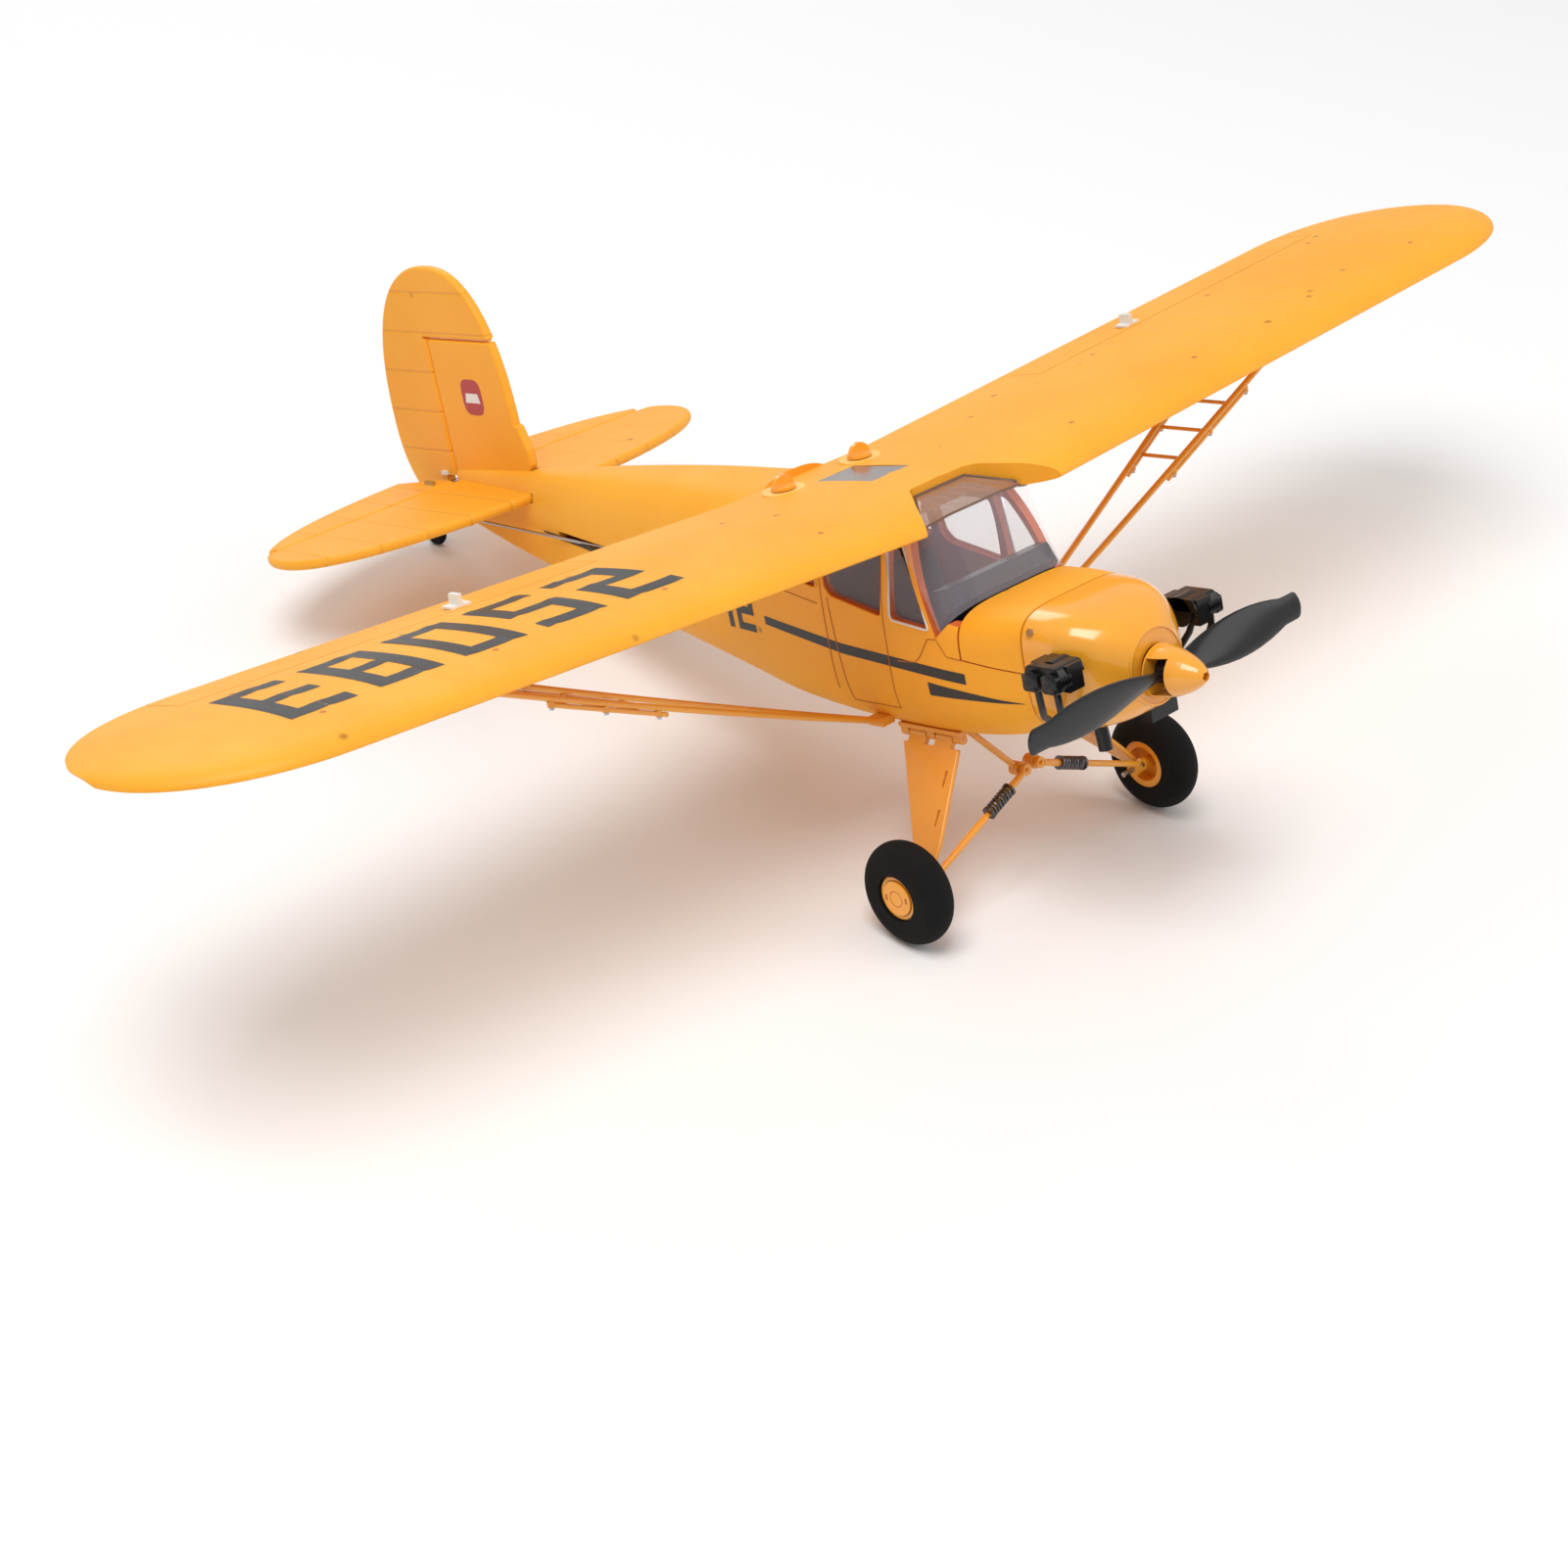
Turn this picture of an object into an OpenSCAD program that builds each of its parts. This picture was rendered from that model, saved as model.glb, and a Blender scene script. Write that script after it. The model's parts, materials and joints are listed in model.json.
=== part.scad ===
// Foam park-flyer aeroplane: high strut-braced wing, tail-wheel gear, electric power.
// Airframe axes: +X to the left wing, +Y aft, +Z up, zero at the wing's leading edge on the centre line.
// stance() then sits the aeroplane on its three wheels, with the base of the box at z = 0.

/* [Wing] */
// Wing span, tip to tip
span = 650; // [640:1:660]
// Wing chord at the root
chord = 103; // [100:1:104]
// Thickness of the wing section as a share of the chord
wing_thick = 0.095; // [0.09:0.005:0.105]
// Rise of each wing panel per unit of span
dihedral = 0.058; // [0.05:0.002:0.065]
// Spanwise start of each aileron
aileron_in = 110; // [106:1:114]
// Spanwise end of each aileron
aileron_out = 276; // [270:1:280]

/* [Fuselage] */
// Half width of the cabin
cabin_w = 32; // [30:0.5:34]
// Thickness of the foam shell
wall = 3.2; // [2.5:0.1:4]

/* [Tail] */
// Half span of the stabilizer
stab_half = 105; // [100:1:110]
// Height of the rudder's top above the wing's leading edge
rudder_top = 79; // [76:1:82]

/* [Landing gear] */
// Half of the wheel track
track_half = 64; // [62:1:66]
// Outer radius of a main tyre
tyre_r = 19; // [18:0.5:20]
// Outer radius of the tail wheel
tail_r = 5.5; // [5:0.5:6]

/* [Propeller] */
// Tip radius of the propeller
prop_r = 68; // [64:1:70]

/* [Hidden] */
$fn = 48;

half_span = span / 2;
gap = 0.4;                  // clearance between parts that move past each other
run = 0.05;                 // radial clearance of a running fit
foam = [0.98, 0.68, 0.2];
plastic = [0.93, 0.6, 0.16];
black = [0.07, 0.07, 0.075];
clear = [0.75, 0.74, 0.8, 0.4];
white = [0.93, 0.92, 0.9];
metal = [0.7, 0.71, 0.73];

// Wheels and the ground stance: the pitch that puts main and tail tyres on one plane
main_y = 7.5;
main_z = -118;
tail_y = 345;
tail_z = -38;
dy = tail_y - main_y;
dz = tail_z - main_z;
pitch = asin((tyre_r - tail_r) / norm([dy, dz])) + atan2(dz, dy);
ground = main_y * sin(pitch) - main_z * cos(pitch) + tyre_r;
centre_y = 126.756;          // half way between the spinner's tip and the rudder's edge, as it stands

module stance() translate([0, -centre_y, ground]) rotate([-pitch, 0, 0]) children();
module on_side(s) if (s > 0) children(); else mirror([1, 0, 0]) children();
module both() {
  children();
  mirror([1, 0, 0]) children();
}

// Round rod from p to q
module rod(p, q, r, fn = 24) {
  v = q - p;
  translate(p) rotate([0, acos(v.z / norm(v)), atan2(v.y, v.x)]) cylinder(h = norm(v), r = r, $fn = fn);
}
// Cylinder along X or Y, centred on p
module disc_x(p, r, h) translate(p) rotate([0, 90, 0]) cylinder(h = h, r = r, center = true);
module disc_y(p, r, h) translate(p) rotate([90, 0, 0]) cylinder(h = h, r = r, center = true);
module block(p, size) translate(p) cube(size, center = true);
// Side outline (y, z) swept along X from x0 to x1
module swept_x(points, x0, x1)
  translate([x0, 0, 0]) rotate([90, 0, 90]) linear_extrude(x1 - x0) polygon(points);

// Solid through closed loops of points: ring joins the last loop to the first, and shell closes the
// ends of a wall whose second half of points runs back along its inside
function flat(a) = [for (row = a) each row];
module loft(loops, ring = false, shell = false) {
  m = len(loops);
  n = len(loops[0]);
  sides = [for (i = [0:m - (ring ? 1 : 2)]) for (j = [0:n - 1]) each [
    [i * n + j, i * n + (j + 1) % n, ((i + 1) % m) * n + (j + 1) % n],
    [i * n + j, ((i + 1) % m) * n + (j + 1) % n, ((i + 1) % m) * n + j]]];
  last = (m - 1) * n;
  ends = [[for (j = [n - 1:-1:0]) j], [for (j = [0:n - 1]) last + j]];
  strips = [for (k = [0:n / 2 - 2]) each [[n - 1 - k, n - 2 - k, k + 1, k],
    [last + k, last + k + 1, last + n - 2 - k, last + n - 1 - k]]];
  polyhedron(flat(loops), concat(sides, ring ? [] : shell ? strips : ends), convexity = 8);
}

// ---- wing ----
hinge_y = 80;               // aileron hinge line
notch = [[12.5, 27], [15.5, 25], [19, 20], [25, 12], [29, 6], [33, 0], [34, -10]];   // over the windshield
edge = 0.6;                 // half thickness of the trailing edge
tip_from = half_span - 60;

function section(t, T) = 5 * T * (0.2969 * sqrt(t) - 0.126 * t - 0.3516 * t * t + 0.2843 * pow(t, 3)
  - 0.1015 * pow(t, 4));
function wing_u(x) = max(0, (abs(x) - tip_from) / (half_span - tip_from));
function wing_half_chord(x) = chord / 2 * max(0.07, pow(max(0, 1 - pow(wing_u(x), 2.1)), 1 / 2.1));
function wing_rise(x) = 1.3 + dihedral * max(0, abs(x) - cabin_w - 2);
function upper(t) = 1.5 * section(t, wing_thick);
function lower(t) = -0.5 * section(t, wing_thick);
function wing_point(x, t, top) =
  let (h = wing_half_chord(x), c = 2 * h, e = edge * min(1, c / chord + 0.3))
  [x, chord / 2 - h + c * t, wing_rise(x) + 2.2 * t + c * (top ? upper(t) : lower(t)) + (top ? e * t : -e * t)];
function wing_loop(x, n = 9) = concat(
  [for (i = [n:-1:0]) wing_point(x, 0.5 - 0.5 * cos(180 * i / n), false)],
  [for (i = [1:n]) wing_point(x, 0.5 - 0.5 * cos(180 * i / n), true)]);
function top_z(x, y) = wing_point(x, y / chord, true).z;
function under_z(x, y) = wing_point(x, y / chord, false).z;
tip_steps = [0.3, 0.5, 0.66, 0.79, 0.89, 0.955, 0.99, 1];
wing_x = concat([cabin_w + 2, 70, 110, 150, 192, 234, tip_from], [for (u = tip_steps) tip_from + (half_span - tip_from) * u]);
wing_rows = concat([for (i = [len(wing_x) - 1:-1:0]) -wing_x[i]], [0], wing_x);
module wing_solid() loft([for (x = wing_rows) wing_loop(x)]);

// The aileron bay, square to the hinge line; lean slopes its front wall aft as it goes down
hinge_top = top_z(aileron_in, hinge_y);
module bay(inset, lean) translate([aileron_in, 0, hinge_top]) rotate([0, -atan(dihedral), 0])
  swept_x([[hinge_y + inset, 12], [hinge_y + inset, 0], [hinge_y + inset + 14 * tan(lean), -14],
    [chord + 9, -14], [chord + 9, 12]], inset, aileron_out - aileron_in - inset);

spar_y = 34;
module spar_strip() rotate([0, -atan(dihedral), 0]) translate([2, spar_y - 0.6, 1.6]) cube([190, 1.2, 3.2]);

// Wing-mounted servo: its arm and the aileron horn are equal and parallel, so the rod only translates
horn_x = 166;
link = [4.5, -10];          // from each pivot to its rod hole, in Y and Z
pin_r = 0.5;
servo_pivot = [41, under_z(horn_x, 41) + 1.6];
aileron_pivot = [hinge_y, top_z(horn_x, hinge_y)];
// The whole linkage lies square to the hinge line
module square_to_hinge() translate([horn_x, 0, aileron_pivot[1]]) rotate([0, -atan(dihedral), 0])
  translate([-horn_x, 0, -aileron_pivot[1]]) children();
module servo_pocket() square_to_hinge() translate([horn_x - 14.4, 35.2, servo_pivot[1] - 8]) cube([16.2, 24.4, 11.2]);

module wing() color(foam) difference() {
  wing_solid();
  both() bay(0, 0);
  both() translate([0, 0, -20]) linear_extrude(60) polygon(concat(notch, [[-1, -10], [-1, 27]]));
  both() spar_strip();
  both() servo_pocket();
  block([0, 65, 6], [18.4, 29.4, 60]);
  both() translate([knob_x, knob_y, knob_z - 1.4]) {
    cylinder(h = 20, r = 8);
    translate([0, 0, -30]) cylinder(h = 40, r = 2.6);
  }
}
module wing_spar() color(black) both() spar_strip();
module skylight() color(clear) translate([0, 65, 7.7]) rotate([-4.3, 0, 0]) block([0, 0, 0], [18.4, 29.3, 0.8]);

knob_x = 19;
knob_y = 87;
knob_z = 6.7;
module lock_plates() color(foam) both() translate([knob_x, knob_y, knob_z - 1.4]) difference() {
  cylinder(h = 1.4, r = 8);
  translate([0, 0, -1]) cylinder(h = 6, r = 2.6);
}
module lock_knob(s) color(plastic) on_side(s) translate([knob_x, knob_y, knob_z]) {
  translate([0, 0, -13]) cylinder(h = 13.4, r = 2.55);
  translate([0, 0, 0.4]) cylinder(h = 1, r = 4.6);
  intersection() {
    translate([-5, -0.9, 1]) cube([10, 1.8, 5]);
    translate([0, 5, 1]) rotate([90, 0, 0]) cylinder(h = 10, r = 4.6);
  }
  translate([-4, -1.2, -14]) cube([8, 2.4, 1]);
}

// ---- ailerons and their linkage ----
module aileron(s) color(foam) on_side(s) difference() {
  intersection() {
    wing_solid();
    bay(gap, 26);
  }
  square_to_hinge() translate([horn_x - 1, hinge_y + 3, 0]) cube([2, 5, 40]);
}
// A plate with a rod hole, for a horn or a servo arm turning about X: p is its pivot in Y and Z
module horn_x_plate(x, p, v, root) difference() {
  translate([x - 0.8, 0, 0]) rotate([90, 0, 90]) linear_extrude(1.6) hull() {
    translate(p + v) circle(r = 1.5, $fn = 24);
    translate(p + root) circle(r = 2.2, $fn = 24);
  }
  disc_x([x, p[0] + v[0], p[1] + v[1]], pin_r + run, 4);
}
module rod_x(x, offset, p, q, v) {
  a = [x + offset, p[0] + v[0], p[1] + v[1]];
  b = [x + offset, q[0] + v[0], q[1] + v[1]];
  side = offset > 0 ? -1 : 1;
  rod(a, b, pin_r + 0.1);
  for (e = [a, b]) disc_x(e + [side * 1.4, 0, 0], pin_r, 3.4);
}
module aileron_horn(s) color(white) on_side(s) square_to_hinge() {
  horn_x_plate(horn_x, aileron_pivot, link, [5, -7.4]);
  translate([horn_x - 1, hinge_y + 3, aileron_pivot[1] - 7]) cube([2, 5, 11]);
  translate([horn_x - 4, hinge_y + 2.6, aileron_pivot[1] - 0.3]) cube([3, 5.8, 0.8]);
  translate([horn_x + 1, hinge_y + 2.6, aileron_pivot[1] - 0.3]) cube([3, 5.8, 0.8]);
}
module aileron_servos() color(black) both() square_to_hinge() difference() {
  translate([horn_x - 14.4, 35.2, servo_pivot[1] - 4]) cube([12.4, 24.4, 7.2]);
  disc_x([horn_x - 2, servo_pivot[0], servo_pivot[1]], 1 + run, 6);
}
module aileron_arm(s) color(white) on_side(s) square_to_hinge() {
  horn_x_plate(horn_x, servo_pivot, link, [0, 0]);
  disc_x([horn_x - 2.8, servo_pivot[0], servo_pivot[1]], 1, 4);
}
module aileron_rod(s) color(metal) on_side(s) square_to_hinge() rod_x(horn_x, 2.2, servo_pivot, aileron_pivot, link);

// ---- fuselage ----
// Each station: [y, half width, top, height of the widest line, bottom]
STATIONS = [[-30, 28, -26, -46, -71], [-16, 30.5, -26.3, -46, -75], [-3, cabin_w - 0.5, -27, -46, -77],
  [8, cabin_w, 2, -46, -78], [20, cabin_w, 14, -46, -78.5], [50, cabin_w, 16, -45, -78], [85, cabin_w - 1, 14, -44, -75],
  [103, cabin_w - 2, 7.2, -42, -72], [112, cabin_w - 3, 4.4, -41, -70], [150, 24.5, 3.4, -36, -63], [200, 18, 0.6, -31, -54.5],
  [245, 12, -3, -26, -46], [280, 7.6, -5, -22, -38.5], [315, 3.6, -6.5, -18, -29]];
tail_end = 315;
function lerp(a, b, t) = a + (b - a) * t;
function station(y) =
  let (k = max([for (i = [0:len(STATIONS) - 2]) STATIONS[i][0] <= y ? i : 0]), a = STATIONS[k], b = STATIONS[k + 1])
  lerp(a, b, (y - a[0]) / (b[0] - a[0]));
// Point on a section, q from 0 at the top to 180 at the bottom, sunk inside the skin by t
function soft(a, e) = sign(a) * pow(abs(a), 2 / e);
function skin(y, q, t = 0) =
  let (s = station(y), w = max(0.4, s[1] - t), z = q < 90 ? max(1, s[2] - t - s[3]) : max(1, s[3] - s[4] - t),
    e = q < 90 ? lerp(4.5, 2.7, min(1, max(0, (y + 3) / 20))) : 3.4)
  [w * soft(sin(q), e), y, s[3] + z * soft(cos(q), e)];
// Half shell: outside from the top seam to the bottom seam, and back up the inside
function shell_loop(y, t, n = 11) = concat(
  [for (i = [n:-1:0]) skin(y, 180 * i / n)],
  [for (i = [0:n]) skin(y, 180 * i / n, t)]);
function solid_loop(y, t, n = 24) = [for (i = [0:n - 1]) let (q = 360 - 360 * i / n, p = skin(y, q < 180 ? q : 360 - q, t))
  [q < 180 ? p.x : -p.x, y, p.z]];
shell_y = concat([-30, -20, -10, -3, 4, 12], [for (y = [20:15:95]) y], [103], [for (y = [112:14:154]) y],
  [for (y = [172:18:298]) y], [tail_end]);
gear_y = [11, 42];
gear_z = -74.5;
// Lower edge of the cabin opening; its step leaves the corner under the windshield's foot
hatch_line = [[-31, -46.8], [-3.1, -43.5], [-3.1, -32], [0.4, -31], [6.6, -36.4]];
pillar_top = [17.5, -1];
// Underside of the wing's root, as an outline in Y and Z
function seat_line() = [for (i = [0:10]) let (y = chord * i / 10) [y, under_z(0, y) - 0.02]];
windows = [
  [[9.2, -34], [28.3, -31.9], [27, -4.8], [19.8, -5]],
  [[32.4, -31.7], [58, -26.5], [61, -23], [61.5, -6.5], [29.3, -6.7]],
  [[65, -24.5], [83, -21.5], [95, -6.5], [65.5, -6.5]]];
stab_y = 299;
stab_z = -13;
stab_c = 43;
surface = 2;                // half thickness of the tail surfaces, and the radius of their hinge edges
elevator_y = 316;
rudder_y = 318.5;
elevator_slot = [188, 238];
rudder_slot = [230, 290];
// Side slot that follows a rod running from a to b, given in Y and Z
function rod_z(a, b, y) = lerp(a[1], b[1], (y - a[0]) / (b[0] - a[0]));
module rod_slot(a, b, span, x, h) let (z0 = rod_z(a, b, span[0]), z1 = rod_z(a, b, span[1]))
  swept_x([[span[0], z0 - h], [span[1], z1 - h], [span[1], z1 + h], [span[0], z0 + h]], x, 40);

module half_shell() difference() {
  loft([for (y = shell_y) shell_loop(y, min(wall, station(y)[1] * 0.72))], shell = true);
  // wing seat, hatch and windshield openings
  swept_x(concat(seat_line(), [[chord + 0.4, 40], [0, 40]]), -1, 60);
  swept_x(concat(hatch_line, [pillar_top, [17.5, 40], [-31, 40]]), -1, 60);
  for (w = windows) swept_x(w, 20, 60);
  translate([-1, gear_y[0], -90]) cube([26, gear_y[1] - gear_y[0], 90 + gear_z]);
  translate([knob_x, knob_y, knob_z - 16]) cylinder(h = 20, r = 4.8);
  // slots for the stabilizer and the fin
  translate([-1, stab_y - stab_c - 1, stab_z - surface]) cube([40, 80, 2 * surface]);
  translate([-0.01, fin_y[0], fin_z[0]]) cube([surface, 80, 40]);
}
module fuselage_left() color(foam) difference() {
  half_shell();
  rod_slot([rudder_servo[1], rudder_arm_z + 2.2], [rudder_y, rudder_horn_z + 2.2], rudder_slot, 4, 1.5);
}
module fuselage_right() color(foam) mirror([1, 0, 0]) difference() {
  half_shell();
  rod_slot(elevator_servo + tail_link, elevator_pivot + tail_link, elevator_slot, 9.5, 1.9);
}

// Nose-top hatch over the battery
module hatch() color(foam) difference() {
  intersection() {
    loft([for (y = [-29.6, -20, -10, -3, 4, 9]) solid_loop(y, 0)]);
    swept_x([[-29.6, -46.2], [-3.9, -43.1], [-3.9, 10], [-29.6, 10]], -50, 50);
  }
  loft([for (y = [-31, -20, -10, -3, 4, 10]) solid_loop(y, wall + 0.6)]);
}
// Windshield rows run from the foot behind the hatch up to the brow; s goes from -1 to 1 across
foot_q = 72;
function foot(s) = let (q = foot_q * abs(s), z = -46 + 19.1 * soft(cos(q), 4.5))
  [sign(s) * 31.3 * soft(sin(q), 4.5), -3 - 1.06 * (z + 26.9), z];
function brow(s) = let (u = abs(s)) [31.2 * s, lookup(u, [[0, 9.3], [0.4, 9.6], [0.7, 10.8], [0.85, 12.6], [1, 15.9]]),
  lookup(u, [[0, 1.6], [0.4, 1.5], [0.7, 0.5], [0.85, -1.4], [1, -2.7]])];
function glass_row(s) = [foot(s), lerp(foot(s), brow(s), 0.5) - [0, 1.2 * (1 - s * s), 0], brow(s)];
// The flange lies in the notch of the wing
flange_end = 0.78;
function flange_rear(s) = let (u = abs(s), k = max(0, (u - 0.55) / (flange_end - 0.55)))
  [sign(s) * (12.2 * min(1, u / 0.55) + 11.2 * k), 26.6 - 13.7 * k, 6.3 - 4.8 * k];
flange_s = [for (i = [-6:6]) flange_end * i / 6];
module windshield() color(clear) {
  loft([for (i = [-10:10]) let (row = glass_row(i / 10)) concat(row, [for (p = [2:-1:0]) row[p] + [0, 0.8, 0]])]);
  loft([for (s = flange_s) [brow(s) + [0, 0.1, 0.1], flange_rear(s), flange_rear(s) - [0, 0, 0.8], brow(s) + [0, 0.6, -0.8]]]);
}
module dash_panel() color(black) intersection() {
  loft([for (y = [-8, -3, 4, 12, 20]) solid_loop(y, wall + 0.6)]);
  swept_x([[-0.8, -25.6], [4, -20.6], [11, -22], [12.5, -34.5], [9.5, -36], [8.6, -34.4]], -40, 40);
}
module side_windows() color(clear) both() for (w = windows) swept_x(w, cabin_w - 2.4, cabin_w - 1.9);

// Tandem seats moulded with rounded cushions
module seat(y) translate([0, y, -56]) {
  hull() for (x = [-13, 13]) for (a = [0, 18]) translate([x, a, 0]) cylinder(h = 9, r = 4, $fn = 24);
  hull() for (x = [-12, 12]) for (z = [8, 30]) translate([x, 21 + z * 0.15, z]) sphere(r = 3.4, $fn = 20);
}
module seats() color([0.2, 0.2, 0.22]) {
  seat(27);
  seat(58);
  block([0, 56.5, -56.75], [54, 63, 1.5]);
}

// ---- tail ----
fin_y = [262, 315.9];
fin_z = [-9, 48.6];
// Rounded outline about (a, b) with half axes r: unequal halves in each direction
function oval(c, rx, ry, e, n) = [for (i = [0:n - 1]) let (q = 360 * i / n, x = cos(q), y = sin(q))
  [c[0] + (x > 0 ? rx[1] : rx[0]) * soft(x, e), c[1] + (y > 0 ? ry[1] : ry[0]) * soft(y, e)]];
tail_outline = oval([308, 12], [40, 46], [45, rudder_top - 12], 2.3, 48);
module fin_shape() intersection() {
  polygon(concat([[fin_y[1], fin_z[0]], [fin_y[1], fin_z[1]], [200, fin_z[1]], [200, fin_z[0]]]));
  union() {
    polygon(tail_outline);
    polygon([[fin_y[0] - 6, -3], [272, -9], [290, -9], [290, 40], [271, 40], [266, 16], [261, 2]]);
  }
}
module upright(x0, x1) translate([x0, 0, 0]) rotate([90, 0, 90]) linear_extrude(x1 - x0) children();
module fin() color(foam) difference() {
  upright(-surface, surface) fin_shape();
  translate([-10, 200, -30]) cube([20, fin_y[0] - 200, 29.6 + fin_z[0]]);
}
module rudder() color(foam) difference() {
  union() {
    upright(-surface, surface) intersection() {
      polygon(tail_outline);
      union() {
        translate([rudder_y, -60]) square([60, 200]);
        translate([200, fin_z[1] + gap]) square([200, 80]);
      }
    }
    translate([0, rudder_y, -33]) cylinder(h = fin_z[1] + 33, r = surface);
  }
  translate([-6, rudder_y + 3.5, -9.8]) cube([12, 3.6, 1.6]);
  translate([-6, rudder_y - 3, stab_z - 3.4]) cube([12, 8.3, 6.4]);
  translate([0, rudder_y + 8, -34]) cylinder(h = 6, r = 0.8);
  translate([-6, rudder_y + 4, -22.4]) cube([12, 6, 1.6]);
}
stab_outline = oval([0, stab_y], [stab_half, stab_half], [stab_c, stab_c], 2.2, 64);
module level_plate(z0, z1) translate([0, 0, z0]) linear_extrude(z1 - z0) children();
module stabilizer() color(foam) level_plate(stab_z - surface, stab_z + surface) intersection() {
  polygon(stab_outline);
  translate([-200, 200]) square([400, elevator_y - surface - 0.3 - 200]);
}
module elevator() color(foam) difference() {
  union() {
    level_plate(stab_z - surface, stab_z + surface) intersection() {
      polygon(stab_outline);
      translate([-200, elevator_y]) square([400, 60]);
    }
    disc_x([0, elevator_y, stab_z], surface, 190);
  }
  translate([0, 0, -60]) linear_extrude(100) polygon([[-5, 300], [-6.5, 322], [-20, 350], [20, 350], [6.5, 322], [5, 300]]);
  disc_x([0, elevator_y + 5, stab_z], 0.8, 30);
  translate([-elevator_horn_x - 0.8, elevator_y + 3, -40]) cube([1.6, 6, 40]);
}
elevator_horn_x = 12.4;
tail_link = [0, -9];
elevator_pivot = [elevator_y, stab_z];
// Wire that joins the two elevator halves behind the tail post, with the control horn under the right half
module elevator_joiner() {
  color(metal) difference() {
    disc_x([0, elevator_y + 5, stab_z], 0.8, 30);
    block([-elevator_horn_x, elevator_y + 6, stab_z], [1.6, 8, 8]);
  }
  color(white) {
    horn_x_plate(-elevator_horn_x, elevator_pivot, tail_link, [6, -4]);
    translate([-elevator_horn_x - 0.8, elevator_y + 3, stab_z - 5]) cube([1.6, 6, 8.4]);
  }
}
elevator_servo = [102, -24];
module elevator_arm() color(white) {
  horn_x_plate(-elevator_horn_x, elevator_servo, tail_link, [0, 0]);
  disc_x([-elevator_horn_x + 2.6, elevator_servo[0], elevator_servo[1]], 1, 4);
}
module elevator_rod() color(metal) rod_x(-elevator_horn_x, -2.2, elevator_servo, elevator_pivot, tail_link);

// Rudder linkage turns about Z: arm and horn reach out to the left
rudder_link = [9, 0];
rudder_servo = [0, 132];
rudder_arm_z = -44;
rudder_horn_z = -21.6;
module horn_z_plate(p, z, v) difference() {
  translate([p[0], p[1], z - 0.8]) linear_extrude(1.6) hull() {
    translate(v) circle(r = 1.5, $fn = 24);
    circle(r = 2.2, $fn = 24);
  }
  translate([p[0] + v[0], p[1] + v[1], z - 3]) cylinder(h = 6, r = pin_r + run);
}
module rudder_arm() color(white) {
  horn_z_plate(rudder_servo, rudder_arm_z, rudder_link);
  translate([rudder_servo[0], rudder_servo[1], rudder_arm_z - 4]) cylinder(h = 4, r = 1);
}
module rudder_horn() color(white) difference() {
  union() {
    translate([0, rudder_y, rudder_horn_z - 0.8]) linear_extrude(1.6) hull() {
      translate([rudder_link[0], 0]) circle(r = 1.5, $fn = 24);
      translate([3, 5]) circle(r = 1.6, $fn = 24);
    }
    translate([-5, rudder_y + 4, rudder_horn_z - 0.8]) cube([10, 6, 1.6]);
    translate([-3.4, rudder_y + 3.5, -9.8]) cube([6.8, 3.6, 1.6]);
  }
  translate([rudder_link[0], rudder_y, rudder_horn_z - 3]) cylinder(h = 6, r = pin_r + run);
}
module rudder_rod() color(metal) {
  a = [rudder_servo[0] + rudder_link[0], rudder_servo[1], rudder_arm_z + 2.2];
  b = [rudder_link[0], rudder_y, rudder_horn_z + 2.2];
  rod(a, b, pin_r + 0.1);
  for (e = [a, b]) translate(e + [0, 0, -3.1]) cylinder(h = 3.4, r = pin_r);
}
// Both tail servos stand on the fuselage floor
module tail_servos() color(black) difference() {
  union() {
    translate([-elevator_horn_x + 2, 96, -62]) cube([10, 20, 41]);
    translate([-5, 126, rudder_arm_z - 15]) cube([10, 20, 13]);
  }
  disc_x([-elevator_horn_x + 2, elevator_servo[0], elevator_servo[1]], 1 + run, 6);
  translate([rudder_servo[0], rudder_servo[1], rudder_arm_z - 6]) cylinder(h = 8, r = 1 + run);
}
tail_wheel_half = 1.8;
module tail_fork() color(metal) {
  wire = 0.8;
  rod([0, rudder_y + 8, -33.4], [3.4, rudder_y + 16, -34.4], wire);
  rod([3.4, rudder_y + 16, -34.4], [3.4, tail_y, tail_z], wire);
  translate([3.4, rudder_y + 16, -34.4]) sphere(r = 1);
  translate([3.4, tail_y, tail_z]) sphere(r = 1);
  disc_x([0.2, tail_y, tail_z], wire, 6.4);
  disc_x([-tail_wheel_half - 0.9, tail_y, tail_z], 1.4, 1);
  translate([0, rudder_y + 8, -31]) cylinder(h = 6, r = wire, center = true);
}
module wheel_ring(r, half, bore, round) rotate_extrude() difference() {
  hull() for (z = [-half + round, half - round]) translate([r - round, z]) circle(r = round, $fn = 32);
  translate([-100 + bore, -50]) square([100, 100]);
}
module tail_wheel() color(black) translate([0, tail_y, tail_z]) rotate([0, 90, 0]) difference() {
  union() {
    cylinder(h = 2 * tail_wheel_half, r = tail_r - 0.8, center = true);
    rotate_extrude() intersection() {
      translate([tail_r - 1.6, 0]) circle(r = 1.6, $fn = 32);
      translate([0, -tail_wheel_half]) square([20, 2 * tail_wheel_half]);
    }
  }
  cylinder(h = 10, r = 0.8 + run, center = true);
}

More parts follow.
